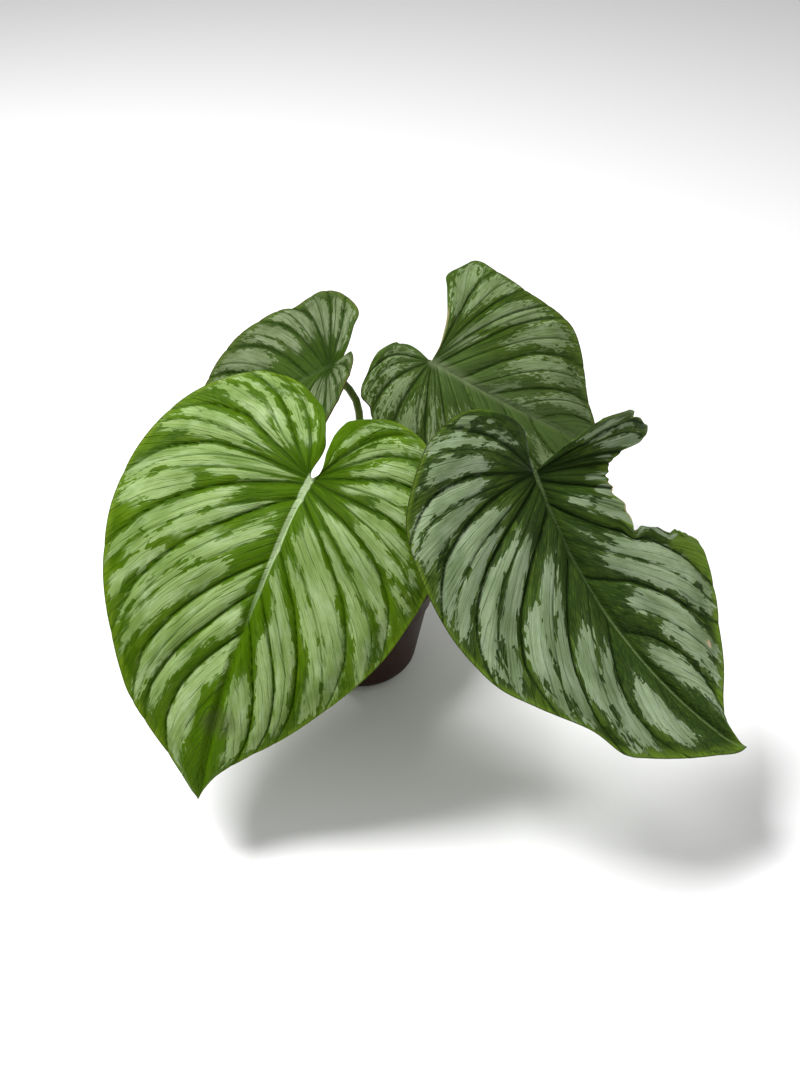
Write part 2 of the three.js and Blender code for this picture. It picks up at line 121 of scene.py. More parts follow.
# Each half's edge is drawn flat, [along the midrib, out from it], from the notch round the lobe
# to the tip. heading, dip and roll turn the blade at the notch; droop, sweep and twist grow
# towards the tip, and hook turns its end aside. fold is how far a half slopes up, at the midrib
# and at the margin, for the lobes, the middle and the tip. lobe turns the basal lobe, lobeEdge
# and lobeBow shape it beside the gap, torn is what is left of each vein, by its number, and
# bulge and pulled bend the veins beside the tear.
LEAVES = {
  "a": dict(
    scale=1.015, notch=[-14.6, -40.9, 143.1], heading=-128, dip=43, roll=-6,
    droop=13, tipDroop=10, sweep=7, twist=-26, halfWidth=65,
    left=dict(
      edge=[[0, 0], [-0.3, 1.6], [-1.6, 2.8], [-4.9, 3.6], [-8.1, 3.2], [-11.2, 2.5],
        [-15.2, 2.4], [-18.3, 2.8], [-22.3, 4.3], [-26, 7.6], [-31, 20], [-32, 30], [-29, 41],
        [-18, 52], [0, 59], [18, 60], [36, 57], [52, 53], [68, 46], [84, 37], [100, 26],
        [112, 15], [122, 6], [129, 2], [135, 0]],
      fold=[[23, -19], [9, -17], [-5, -5]], lobe=-4,
    ),
    right=dict(
      edge=[[0, 0], [-2.2, 1.4], [-5.3, 1.2], [-8.1, 0.8], [-11.6, 0.8], [-14.8, 1.6],
        [-19.9, 4.5], [-25, 9], [-28, 17], [-31, 30], [-30, 43],
        [-26, 53], [-14, 64], [2, 71], [22, 73], [40, 70], [58, 63], [75, 53], [92, 41],
        [102, 33], [115, 18], [124, 9], [130, 4], [135, 0]],
      fold=[[-16, 7], [8, -6], [-3, 2]], lobe=-4, lobeEdge=0.17, lobeBow=0.15,
    ),
  ),
  "b": dict(
    scale=0.96, notch=[68.4, -48.6, 151.7], heading=-55, dip=53, roll=6,
    droop=-8, tipDroop=-4, sweep=34, twist=-12, hook=35, halfWidth=69.5,
    left=dict(
      edge=[[0, 0], [-5, 8], [-12, 15], [-19, 22], [-22, 32], [-20, 44], [-10, 57], [6, 67],
        [26, 70], [46, 68], [62, 63], [78, 57], [92, 50], [108, 37], [120, 25], [128, 13],
        [134, 6.5], [141, 3], [147, 0]],
      fold=[[5, -30], [16, -34], [-1, 4]], lobe=55, lobeEdge=0.17, lobeBow=0.08,
      torn=[[0, 0.8], [0.7, 0.8], [1.3, 0.84], [1.5, 0.8], [1.62, 0.9], [1.9, 0.94],
        [2.3, 0.81], [2.75, 0.68], [3, 0.54], [3.6, 0.43], [4.4, 0.36], [5.3, 0.33],
        [6.1, 0.34], [6.6, 0.38], [7, 0.38], [7.5, 0.365], [7.56, 0.97], [8, 1]],
      bulge=[[6.3, 0], [7.34, 1.4], [7.66, 7.7], [10, 0]],
      pulled=[[0, 0], [6.3, 6.3], [7.34, 7.7], [7.66, 6.9], [10, 10], [14, 14]],
    ),
    right=dict(
      edge=[[0, 0], [-5, 0.5], [-14, 1], [-20, 5], [-26, 13], [-30, 22], [-31, 33], [-28, 41],
        [-22, 50], [-5, 61], [8, 63], [30, 62], [45, 59], [56, 56], [68, 49], [86, 39],
        [101, 36], [110, 30], [126, 17], [138, 7], [144, 2.5], [147, 0]],
      fold=[[43, -23], [23, -33], [11, 5]], lobe=4,
    ),
  ),
  "c": dict(
    scale=1, notch=[32.5, 39.2, 143.5], heading=-1, dip=34, roll=27,
    droop=15, tipDroop=3, sweep=20, twist=22, halfWidth=59.4,
    left=dict(
      edge=[[0, 0], [1, 8], [0.5, 16], [-0.5, 24], [-2.5, 32], [-4.5, 40], [-6, 46], [-4, 51],
        [0, 55.5], [4, 60.5], [8, 65], [13, 66], [20, 63], [38, 56], [55, 52], [67, 47],
        [77, 35], [86, 21], [97, 11], [105, 4], [111, 0]],
      fold=[[4, -21], [23, -22], [5, 5]], lobe=-20, lobeEdge=0.29, lobeBow=0,
    ),
    right=dict(
      edge=[[0, 0], [-1, -0.4], [-3.8, -1.6], [-6.8, -2.9], [-11, -3.2], [-15, -1],
        [-19.4, 4.2], [-22.4, 9.2], [-24.8, 15.2], [-25.8, 22.4], [-25.7, 28.4], [-25.8, 35.2],
        [-25.2, 38.4], [-24, 40.6], [-21.6, 41], [-19.4, 41.6], [-17.2, 44.5],
        [-13, 47.5], [0, 53], [16, 55], [34, 53], [50, 47], [66, 39], [82, 27], [96, 14],
        [105, 5], [111, 0]],
      fold=[[23, -19], [10, -19], [5, 0]], lobe=-3,
    ),
  ),
  "d": dict(
    scale=1, notch=[-11.4, 36.9, 142.4], heading=-183, dip=34, roll=-17,
    droop=-4, tipDroop=6, sweep=-11, twist=-20, halfWidth=45.1,
    left=dict(
      edge=[[0, 0], [-6, 0.5], [-11, 1], [-14, 5], [-17, 14], [-19, 24], [-17, 31], [-12, 36],
        [-2, 40], [12, 42], [26, 41], [40, 36], [54, 28], [67, 17], [76, 7], [83, 0]],
      fold=[[45, -6], [14, -13], [5, 0]], lobe=-1, lobeEdge=0.16, lobeBow=0.1,
    ),
    right=dict(
      edge=[[0, 0], [-6, 0.7], [-11, 4], [-16, 11], [-20, 19], [-17, 29], [-10, 40], [0, 48],
        [8, 46], [15, 43.5], [24, 45.5], [35, 42], [48, 35], [60, 25], [72, 12], [79, 4],
        [83, 0]],
      fold=[[19, -15], [16, -17], [10, 3]], lobe=-1, lobeEdge=0.17, lobeBow=0.1,
    ),
  ),
}

# Where the sunk veins of each half run: vein numbers at VEIN_ROWS of the way to the edge.
# Main ones are sunk deep with quilted tissue between them, side ones are faint lines.
VEIN_ROWS = [0.05, 0.3, 0.55, 0.8, 1]
MAIN_VEINS = {
  "a_left": [[0.8, 0.93, 0.93, 0.93, 0.9], [2.1, 1.8, 1.6, 1.6, 1.6], [3.1, 2.8, 2.5, 2.4, 2.4],
    [4.8, 4.3, 3.9, 4, 4.4], [6.3, 5.75, 5.65, 6.1, 7], [7.5, 7.55, 7.7, 8.2, 9.1],
    [9.5, 9.6, 9.95, 10.4, 11.1], [10.9, 11, 11.1, 11.4, 11.9],
    [11.7, 11.95, 12.1, 12.35, 12.8]],
  "a_right": [[0.6, 0.6, 0.6, 0.6, 0.6], [1.5, 1.3, 1.08, 1, 1], [2.8, 2.6, 2.3, 2.5, 3],
    [4.5, 4.25, 4.15, 4.5, 5.1], [6.2, 6.28, 6.4, 6.6, 6.8],
    [7.6, 8, 8.1, 8.3, 8.8], [9.95, 9.95, 9.95, 10.05, 10.7],
    [10.9, 11.05, 11, 11.05, 11.4], [12, 11.97, 11.97, 12.15, 12.7]],
  "b_left": [[1, 1, 1.2, 1.5, 1.8], [2.6, 2.7, 2.9, 3, 3.1], [4.4, 4.1, 3.9, 3.9, 4],
    [6.2, 6.2, 6.1, 6.05, 6], [8, 8.07, 8.2, 8.55, 8.9],
    [10.5, 10, 9.9, 9.97, 9.8], [12.1, 11.85, 11.9, 12.4, 13]],
  "b_right": [[1, 1, 0.95, 0.9, 0.8], [2.7, 2.45, 2.3, 2.45, 3.1], [3.5, 3.7, 3.87, 4.2, 5],
    [5.9, 5.7, 5.67, 5.95, 6.6], [8, 7.6, 7.45, 7.53, 8.1],
    [9.6, 9.5, 9.4, 9.6, 9.9], [11.7, 11.5, 11.4, 11.65, 12.3]],
  "c_left": [[0.8, 1, 1.2, 1.5, 1.8], [2.8, 3, 3.2, 3.35, 3.5], [5, 5, 5, 5.1, 5.2],
    [6.5, 6.35, 6.15, 6.2, 6.3], [8.7, 8.4, 8.25, 8.5, 8.9],
    [10.4, 10.4, 10.5, 10.7, 11], [12.5, 12.4, 12.4, 12.6, 12.9]],
  "c_right": [[0.75, 0.75, 0.75, 0.9, 1], [2.1, 2, 1.95, 1.9, 1.9], [3.3, 3.1, 3, 2.95, 3],
    [4.9, 4.9, 4.9, 5.1, 5.4], [6.6, 6.5, 6.4, 6.6, 7], [8.8, 8.7, 8.8, 9, 9.4],
    [10.9, 10.8, 10.9, 11, 11.4], [12.2, 12.1, 12.2, 12.4, 12.8]],
  "d_left": [[1, 1, 1, 1, 1], [2.3, 2.1, 1.95, 1.9, 1.9], [3.5, 3.2, 3, 2.95, 3],
    [5.1, 5, 4.9, 5, 5.3], [6.8, 6.7, 6.7, 6.9, 7.3], [8.8, 8.7, 8.8, 9, 9.4],
    [10.8, 10.7, 10.8, 11, 11.4], [12.3, 12.2, 12.2, 12.4, 12.8]],
  "d_right": [[1, 0.95, 0.9, 0.95, 1], [2.3, 2.25, 2.25, 2.4, 2.6],
    [4.3, 4.3, 4.35, 4.6, 5], [6.5, 6.45, 6.45, 6.6, 6.9],
    [8.6, 8.35, 8.35, 8.65, 9], [10.5, 10.4, 10.4, 10.6, 10.9],
    [12.2, 12.1, 12.1, 12.3, 12.6]],
}
SIDE_VEINS = {
  "a_left": [[0.4, 0.4, 0.4, 0.45, 0.5], [3.6, 3.4, 3.25, 3.2, 3.3], [5.1, 4.95, 4.8, 5, 5.4],
    [7, 6.88, 6.85, 7, 7.5], [8.95, 8.8, 8.85, 9.05, 9.4], [13, 13.05, 13.1, 13.2, 13.3],
    [10.3, 10.4, 10.5, 10.9, 11.4]],
  "a_right": [[1.9, 1.8, 1.45, 1.4, 1.6], [3.6, 3.5, 3.28, 3.28, 3.5],
    [4.8, 4.7, 4.85, 5.1, 5.5], [5.6, 5.45, 5.4, 5.4, 5.75],
    [7.5, 7.35, 7.25, 7.15, 7.3], [8.2, 8.4, 8.6, 8.75, 9.1],
    [9.05, 8.97, 8.95, 8.95, 9.25], [10.2, 10.4, 10.55, 10.65, 11],
    [13, 13, 13, 13.15, 13.3]],
  "b_left": [[1.6, 1.6, 1.75, 2.1, 2.5], [3.3, 3.3, 3.3, 3.4, 3.6], [5.2, 5.2, 5.1, 5.1, 5.2],
    [7.1, 7, 6.9, 6.9, 7], [9.2, 9.02, 9.1, 9.27, 9.4],
    [11.3, 11, 11.02, 11.2, 11.5], [12.9, 12.95, 13, 13.1, 13.2]],
  "b_right": [[0.6, 0.6, 0.6, 0.6, 0.6], [1.8, 1.6, 1.47, 1.45, 1.6],
    [3.4, 3.15, 3.03, 3.03, 3.4], [5.1, 5, 4.92, 5.1, 5.6],
    [6.8, 6.6, 6.47, 6.75, 7.2], [8.7, 8.65, 8.6, 8.5, 8.7],
    [10.6, 10.5, 10.43, 10.4, 10.9], [13, 13, 13.05, 13.15, 13.3]],
  "c_left": [[1.7, 1.9, 2.15, 2.35, 2.6], [3.9, 3.85, 3.8, 3.85, 4], [5.8, 5.7, 5.6, 5.6, 5.7],
    [7.5, 7.45, 7.4, 7.5, 7.7], [9.4, 9.3, 9.3, 9.5, 9.8],
    [11.5, 11.35, 11.3, 11.4, 11.6]],
  "c_right": [[1.3, 1.33, 1.4, 1.48, 1.5], [4.1, 4.1, 4.2, 4.4, 4.6], [5.8, 5.7, 5.7, 5.8, 6],
    [7.6, 7.6, 7.6, 7.8, 8.1], [9.8, 9.8, 9.8, 10, 10.3]],
  "d_left": [[1.5, 1.5, 1.5, 1.5, 1.5], [2.9, 2.7, 2.5, 2.4, 2.4], [4.2, 4, 3.9, 3.9, 4],
    [6, 5.8, 5.8, 5.9, 6.2], [7.8, 7.7, 7.7, 7.9, 8.3], [9.8, 9.7, 9.8, 10, 10.3]],
  "d_right": [[0.4, 0.4, 0.4, 0.4, 0.4], [1.6, 1.6, 1.6, 1.7, 1.8], [3.4, 3.4, 3.4, 3.45, 3.6],
    [5.7, 5.65, 5.65, 5.7, 5.9], [7.7, 7.65, 7.65, 7.8, 8],
    [9.6, 9.6, 9.7, 9.9, 10.2]],
}

# The silver patches of each half, each a run of rows of (place from midrib to edge, the
# vein numbers where the patch begins and ends there).
PATCHES = {
  "a_left": [
    [[0.2, 0.45, 0.55], [0.4, 0.5, 0.7], [0.7, 0.6, 0.75], [0.85, 0.6, 0.7]],
    [[0.15, 0.87, 0.97], [0.5, 0.97, 1.1], [0.85, 1.02, 1.1]],
    [[0.2, 1.65, 1.9], [0.4, 1.35, 1.8], [0.6, 1.2, 1.6], [0.75, 1.15, 1.45], [0.9, 1.2, 1.4]],
    [[0.3, 2.35, 2.6], [0.45, 1.95, 2.5], [0.6, 1.8, 2.4], [0.75, 1.75, 2.3], [0.92, 1.8, 2.2]],
    [[0.24, 3.25, 3.9], [0.35, 3, 3.6], [0.42, 2.75, 3.4], [0.55, 2.65, 3.3], [0.7, 2.7, 3.1],
     [0.88, 2.7, 3]],
    [[0.42, 3.55, 3.95], [0.5, 3.3, 3.9], [0.6, 3.2, 3.85], [0.7, 3.25, 3.7], [0.86, 3.4, 3.7]],
    [[0.3, 4.6, 4.95], [0.42, 4.2, 4.85], [0.5, 4.05, 4.85], [0.65, 4.1, 4.8], [0.75, 4.5, 4.85],
     [0.85, 4.9, 5.2]],
    [[0.36, 5.2, 5.6], [0.45, 5, 5.55], [0.6, 4.95, 5.5], [0.7, 5, 5.4], [0.78, 5, 5.25]],
    [[0.72, 5.35, 5.7], [0.82, 5.45, 5.8], [0.9, 5.5, 5.8]],
    [[0.12, 6.35, 6.6], [0.25, 6.1, 6.7], [0.33, 5.85, 6.75], [0.5, 5.8, 6.8], [0.62, 5.9, 6.85],
     [0.7, 6.15, 6.5], [0.74, 6.15, 6.6], [0.85, 6.4, 6.9], [0.93, 6.9, 7.1]],
    [[0.22, 7.15, 7.4], [0.42, 7, 7.5], [0.5, 6.95, 7.45], [0.62, 6.95, 7.65], [0.75, 7, 7.75],
     [0.85, 7.2, 7.85], [0.95, 7.6, 7.9]],
    [[0.1, 7.9, 8.7], [0.16, 7.7, 8.75], [0.3, 7.75, 8.8], [0.42, 7.8, 8.8], [0.6, 7.95, 8.85],
     [0.72, 8.15, 8.95], [0.85, 8.5, 9.05], [0.95, 8.9, 9.2]],
    [[0.1, 9.05, 9.3], [0.25, 8.9, 9.3], [0.42, 8.85, 9.45], [0.55, 8.9, 9.4], [0.65, 9, 9.6],
     [0.75, 9.05, 9.85], [0.85, 9.2, 10.1], [0.93, 9.4, 10.2]],
    [[0.06, 9.75, 10.1], [0.14, 9.85, 10.15], [0.2, 9.85, 10.9], [0.3, 9.85, 10.95],
     [0.45, 10, 11], [0.6, 10.25, 11.1], [0.75, 10.6, 11.25], [0.87, 10.9, 11.4]],
    [[0.18, 11, 11.3], [0.35, 11.05, 11.85], [0.5, 11.12, 11.97], [0.65, 11.2, 12.05],
     [0.78, 11.3, 12.2], [0.9, 11.7, 12.4]],
    [[0.12, 12.7, 13.05], [0.25, 12.15, 13.1], [0.4, 12.1, 13.1], [0.5, 12.2, 13.1],
     [0.7, 12.4, 13.1], [0.85, 12.7, 13.1]],
  ],
  "a_right": [
    [[0.3, 0.35, 0.5], [0.6, 0.4, 0.5], [0.85, 0.35, 0.45]],
    [[0.22, 0.7, 0.95], [0.4, 0.7, 1], [0.6, 0.7, 1.02], [0.8, 0.7, 0.93], [0.95, 0.75, 0.95]],
    [[0.24, 1.5, 2.1], [0.32, 1.4, 1.95], [0.45, 1.25, 1.55], [0.6, 1.17, 1.42],
     [0.8, 1.15, 1.35], [0.95, 1.3, 1.5]],
    [[0.22, 2.2, 2.5], [0.35, 2, 2.4], [0.5, 1.6, 2.2], [0.65, 1.5, 2.15], [0.8, 1.5, 2],
     [0.92, 1.7, 1.95]],
    [[0.27, 3.3, 3.7], [0.4, 2.8, 3.5], [0.5, 2.65, 3.4], [0.65, 2.7, 3.25], [0.8, 2.8, 3.2],
     [0.88, 2.95, 3.2]],
    [[0.33, 3.9, 4.1], [0.42, 3.5, 4.05], [0.55, 3.35, 3.95], [0.7, 3.33, 3.9],
     [0.83, 3.37, 3.8], [0.93, 3.5, 3.7]],
    [[0.1, 5.1, 5.5], [0.2, 4.6, 5.5], [0.3, 4.45, 5.4], [0.5, 4.3, 5.35], [0.65, 4.4, 5.35],
     [0.8, 4.6, 5.35], [0.92, 5, 5.5]],
    [[0.08, 5.85, 6.1], [0.25, 5.6, 6.2], [0.35, 5.5, 5.9], [0.45, 5.6, 5.9]],
    [[0.5, 5.85, 6.3], [0.6, 5.5, 6.3], [0.7, 5.45, 6.3], [0.85, 5.5, 6], [0.93, 5.75, 6]],
    [[0.28, 6.5, 6.8], [0.4, 6.45, 7.3], [0.5, 6.5, 7.25], [0.65, 6.6, 7.2], [0.8, 6.75, 7.1],
     [0.94, 6.9, 7.2]],
    [[0.12, 7.5, 7.8], [0.25, 7.4, 7.8], [0.4, 7.38, 7.95], [0.55, 7.32, 7.75],
     [0.65, 7.3, 7.6], [0.8, 7.22, 7.5]],
    [[0.6, 7.85, 8], [0.75, 7.65, 8.1], [0.9, 7.7, 8.1]],
    [[0.08, 8.2, 9], [0.22, 8.45, 9], [0.33, 8.5, 8.95], [0.5, 8.65, 8.9], [0.65, 8.72, 8.92],
     [0.85, 8.8, 8.9]],
    [[0.33, 8.15, 8.45], [0.5, 8.15, 8.55], [0.7, 8.25, 8.65], [0.88, 8.5, 8.8]],
    [[0.22, 9.2, 9.8], [0.35, 9.05, 9.8], [0.5, 9, 9.65], [0.65, 9, 9.6], [0.8, 9.05, 9.45],
     [0.9, 9.2, 9.5]],
    [[0.08, 10.05, 10.85], [0.22, 10.05, 10.95], [0.35, 10, 11], [0.5, 10, 10.97],
     [0.65, 10.02, 10.95], [0.8, 10.15, 10.95], [0.92, 10.5, 11]],
    [[0.06, 11.05, 11.85], [0.25, 11.1, 11.65], [0.35, 11.1, 11.5], [0.5, 11.05, 11.6],
     [0.65, 11.08, 11.5], [0.75, 11.1, 11.6], [0.87, 11.2, 11.5]],
    [[0.04, 12.1, 12.8], [0.2, 12.05, 12.6], [0.3, 12, 12.5], [0.4, 12, 13.05],
     [0.55, 12.05, 13.1], [0.7, 12.12, 13.15], [0.8, 12.3, 13.2], [0.92, 12.65, 13.2]],
  ],
  "b_left": [
    [[0.44, 1.05, 1.3], [0.55, 1.1, 1.5], [0.7, 1.25, 1.7], [0.82, 1.5, 1.8]],
    [[0.42, 1.8, 2.1], [0.55, 1.9, 2.5], [0.7, 2.1, 2.7], [0.85, 2.3, 2.8], [0.96, 2.6, 2.9]],
    [[0.55, 0.2, 0.6], [0.7, 0.3, 1], [0.87, 0.3, 1.1]],
    [[0.68, 3, 3.2], [0.8, 3.1, 3.5], [0.9, 3.4, 3.7]],
    [[0.65, 5.1, 5.5], [0.8, 4.9, 5.5], [0.95, 4.85, 5.4]],
    [[0.74, 6.05, 6.5], [0.85, 5.8, 6.45], [0.98, 5.7, 6.4]],
    [[0.27, 7.1, 7.38], [0.4, 6.85, 7.3], [0.53, 6.65, 7.1]],
    [[0.56, 6.85, 7.25], [0.7, 6.62, 7.18], [0.85, 6.52, 7.02], [0.99, 6.45, 6.9]],
    [[0.6, 7.28, 7.46], [0.75, 7.15, 7.45], [0.9, 7.06, 7.38], [0.98, 7, 7.3]],
    [[0.42, 7.5, 7.75], [0.52, 7.5, 7.85], [0.62, 7.58, 7.8], [0.7, 7.62, 7.74]],
    [[0.12, 8.55, 8.7], [0.15, 8.7, 8.85]],
    [[0.19, 8.9, 9.15], [0.25, 8.2, 9.1], [0.35, 8.12, 9.02], [0.45, 8.2, 9], [0.6, 8.35, 9.1],
     [0.72, 8.55, 9.2], [0.8, 8.75, 9.2], [0.93, 9, 9.3]],
    [[0.16, 9.4, 9.8], [0.3, 9.1, 9.85], [0.45, 9.05, 9.8], [0.6, 9.15, 9.75], [0.75, 9.27, 9.85],
     [0.85, 9.35, 9.8], [0.95, 9.45, 9.7]],
    [[0.2, 10.9, 11.1], [0.3, 10.2, 11.05], [0.42, 10.05, 11], [0.55, 10.05, 11.05],
     [0.7, 10.12, 11.1], [0.8, 10.6, 11.2], [0.92, 10.8, 11.4]],
    [[0.42, 11.05, 11.5], [0.55, 11.02, 11.75], [0.7, 11.1, 11.9], [0.8, 11.4, 12],
     [0.93, 11.9, 12.3]],
    [[0.16, 12.4, 12.7], [0.25, 12.15, 12.9], [0.4, 12.02, 13], [0.55, 12.1, 13],
     [0.7, 12.3, 13.05], [0.8, 12.6, 13.1], [0.9, 12.9, 13.1]],
  ],
  "b_right": [
    [[0.33, 0.75, 0.9], [0.45, 0.75, 0.9], [0.55, 0.78, 0.92], [0.75, 0.72, 0.85],
     [0.95, 0.65, 0.75]],
    [[0.37, 1.25, 1.35], [0.5, 1.1, 1.3], [0.6, 1, 1.43], [0.75, 1, 1.4], [0.9, 1.05, 1.4],
     [0.97, 1.15, 1.4]],
    [[0.4, 1.9, 2.1], [0.5, 1.75, 2.25], [0.6, 1.6, 2.25], [0.75, 1.5, 2.2], [0.9, 1.55, 2.1]],
    [[0.4, 2.65, 2.85], [0.5, 2.5, 3], [0.6, 2.4, 3], [0.7, 2.37, 3], [0.8, 2.5, 3],
     [0.9, 2.8, 3.15], [0.97, 3.1, 3.3]],
    [[0.45, 3.2, 3.4], [0.56, 3.1, 3.6], [0.7, 3.07, 3.85], [0.8, 3.07, 3.9], [0.88, 3.2, 3.9],
     [0.95, 3.4, 3.7]],
    [[0.3, 4.8, 5], [0.42, 4.05, 5], [0.55, 3.98, 4.9], [0.68, 4.1, 4.95], [0.8, 4.3, 5.05],
     [0.92, 4.6, 5.25]],
    [[0.4, 5.1, 5.35], [0.5, 5, 5.5], [0.65, 5, 5.6], [0.8, 5.15, 5.75], [0.91, 5.4, 5.85]],
    [[0.3, 6.2, 6.45], [0.4, 6, 6.5], [0.48, 5.8, 6.45], [0.6, 5.75, 6.45], [0.7, 5.85, 6.6],
     [0.8, 6.1, 6.7], [0.92, 6.5, 7]],
    [[0.26, 6.8, 7.3], [0.38, 6.6, 7.4], [0.5, 6.52, 7.35], [0.62, 6.65, 7.3], [0.75, 6.8, 7.25],
     [0.85, 6.95, 7.35], [0.96, 7.15, 7.4]],
    [[0.45, 7.8, 8.3], [0.55, 7.6, 8.4], [0.65, 7.6, 8.45], [0.75, 7.75, 8.45],
     [0.83, 8, 8.45], [0.94, 8.35, 8.55]],
    [[0.18, 8.6, 8.7], [0.3, 8.1, 8.75], [0.42, 8.1, 8.7], [0.55, 8.3, 8.6], [0.7, 8.4, 8.6]],
    [[0.28, 8.9, 9.1], [0.42, 8.68, 9.2], [0.55, 8.62, 9.35], [0.7, 8.55, 9.5],
     [0.82, 8.6, 9.4], [0.92, 8.8, 9.2]],
    [[0.26, 10.3, 10.55], [0.38, 9.85, 10.5], [0.5, 9.65, 10.4], [0.62, 9.65, 10.35],
     [0.72, 10, 10.35], [0.82, 10.2, 10.45], [0.93, 10.3, 10.7]],
    [[0.26, 11.2, 11.35], [0.35, 10.8, 11.3], [0.5, 10.48, 11.25], [0.65, 10.45, 11.35],
     [0.78, 10.5, 11.5], [0.9, 10.8, 11.4]],
    [[0.26, 12.1, 12.3], [0.35, 12, 12.7], [0.45, 11.7, 12.9], [0.57, 11.7, 13.1],
     [0.67, 11.95, 13.1], [0.73, 12.3, 12.9], [0.82, 12.4, 12.8]],
  ],
  "c_left": [
    [[0.34, 0.5, 1], [0.5, 0.25, 1.2], [0.7, 0.2, 1.35], [0.82, 0.5, 1.4], [0.92, 0.8, 1.3]],
    [[0.45, 1.35, 2], [0.58, 1.4, 2.25], [0.7, 1.45, 2.9], [0.82, 1.5, 3.3], [0.95, 2, 3.2]],
    [[0.22, 4, 4.6], [0.38, 3.6, 5], [0.5, 3.75, 5.8], [0.62, 3.8, 6.1], [0.72, 3.9, 6.3],
     [0.82, 4.3, 6.3], [0.9, 4.8, 5.7]],
    [[0.44, 7, 7.5], [0.55, 6.75, 7.8], [0.65, 6.6, 7.95], [0.78, 6.5, 8], [0.88, 6.6, 7.8],
     [0.94, 7.1, 7.5]],
    [[0.3, 8.7, 9.3], [0.4, 8.55, 9.4], [0.55, 8.5, 9.4], [0.72, 8.6, 9.1]],
    [[0.52, 9.45, 9.95], [0.65, 9.1, 10.2], [0.76, 8.9, 10.2], [0.88, 9.2, 10.1],
     [0.97, 9.7, 10]],
    [[0.33, 11.1, 11.4], [0.5, 11, 11.85], [0.62, 10.85, 12.1], [0.78, 10.7, 12.3],
     [0.9, 11.5, 12.4]],
    [[0.08, 9.8, 10.1], [0.25, 9.9, 10.2]],
    [[0.12, 3.2, 6], [0.2, 3.1, 6.1], [0.3, 3.4, 6]],
    [[0.08, 11, 12], [0.16, 11, 11.8]],
  ],
  "c_right": [
    [[0.27, 0.5, 0.8], [0.4, 0.5, 1.1], [0.55, 0.6, 1.2], [0.65, 0.85, 1.2], [0.8, 1, 1.2]],
    [[0.25, 1.6, 1.9], [0.42, 1.5, 1.8], [0.55, 1.35, 1.7], [0.7, 1.3, 1.65], [0.85, 1.4, 1.7],
     [0.97, 1.4, 1.6]],
    [[0.27, 2.5, 2.7], [0.4, 2.2, 2.9], [0.5, 2, 3], [0.62, 2, 2.9], [0.75, 1.95, 2.5],
     [0.92, 2, 2.3]],
    [[0.33, 4.3, 4.7], [0.4, 3.7, 4.6], [0.5, 3.6, 4.3], [0.6, 3.2, 4.2], [0.7, 3.1, 3.9],
     [0.88, 3.2, 3.9]],
    [[0.3, 5.3, 5.8], [0.45, 5.2, 5.6], [0.6, 5.2, 5.7], [0.85, 5.4, 5.9]],
    [[0.35, 6, 6.3], [0.55, 5.85, 6.3], [0.8, 6, 6.5]],
    [[0.35, 6.7, 7.4], [0.6, 6.6, 7.5], [0.9, 7, 7.6]],
    [[0.3, 7.8, 8.6], [0.6, 7.8, 8.7], [0.9, 8.2, 9]],
    [[0.3, 9.1, 10.2], [0.6, 9.1, 10.4], [0.9, 9.5, 10.6]],
    [[0.3, 11.5, 11.8], [0.45, 11.2, 11.8], [0.65, 11.1, 11.9], [0.9, 11.5, 12.2]],
  ],
  "d_left": [
    [[0.1, 0.1, 0.9], [0.25, 0.45, 0.9], [0.5, 0.55, 0.9], [0.85, 0.6, 0.95]],
    [[0.2, 1.05, 1.4], [0.5, 1.05, 1.4], [0.9, 1.1, 1.45]],
    [[0.2, 1.55, 2.1], [0.5, 1.55, 1.95], [0.85, 1.6, 1.85]],
    [[0.3, 2.3, 3.1], [0.45, 2.1, 3], [0.65, 2, 2.95], [0.92, 1.95, 2.8]],
    [[0.22, 3.7, 5], [0.4, 3.3, 4.8], [0.6, 3.1, 4.7], [0.9, 3.2, 4.8]],
    [[0.15, 5.2, 6.3], [0.25, 5.1, 6.6], [0.5, 5, 6.6], [0.9, 5.3, 6.9]],
    [[0.25, 6.9, 8.5], [0.5, 6.8, 8.7], [0.9, 7.3, 9]],
    [[0.25, 8.9, 10.6], [0.5, 8.9, 10.7], [0.9, 9.4, 11]],
    [[0.3, 10.9, 12.1], [0.5, 10.9, 12.2], [0.88, 11.3, 12.5]],
  ],
  "d_right": [
    [[0.23, 0.6, 0.95], [0.4, 0.3, 0.9], [0.6, 0.25, 0.85], [0.88, 0.2, 0.85]],
    [[0.34, 1.1, 2.1], [0.5, 1, 2], [0.62, 1, 1.85], [0.75, 1, 2], [0.87, 1.1, 1.9]],
    [[0.23, 2.8, 3.3], [0.35, 2.4, 4.1], [0.5, 2.35, 4.2], [0.62, 2.5, 4.25], [0.72, 2.7, 4.2],
     [0.87, 3.4, 4.2]],
    [[0.34, 5.2, 5.9], [0.42, 4.5, 5.9], [0.6, 4.45, 5.7], [0.75, 4.6, 5.7], [0.9, 4.9, 5.9]],
    [[0.32, 6.1, 6.4], [0.5, 5.8, 6.35], [0.65, 5.75, 6.3], [0.8, 5.85, 6.5], [0.92, 6, 6.5]],
    [[0.26, 7.4, 7.8], [0.35, 6.9, 7.6], [0.5, 6.65, 7.6], [0.65, 6.7, 7.7], [0.8, 6.9, 7.8],
     [0.92, 7.2, 7.8]],
    [[0.4, 7.8, 8.2], [0.55, 7.7, 8.15], [0.7, 7.85, 8.3], [0.87, 8.1, 8.5]],
    [[0.36, 8.9, 9.7], [0.5, 8.6, 10.1], [0.65, 8.65, 10.3], [0.8, 9, 10.4], [0.92, 9.3, 10.6]],
    [[0.3, 10.8, 11.8], [0.5, 10.6, 12], [0.9, 11, 12.3]],
  ],
}

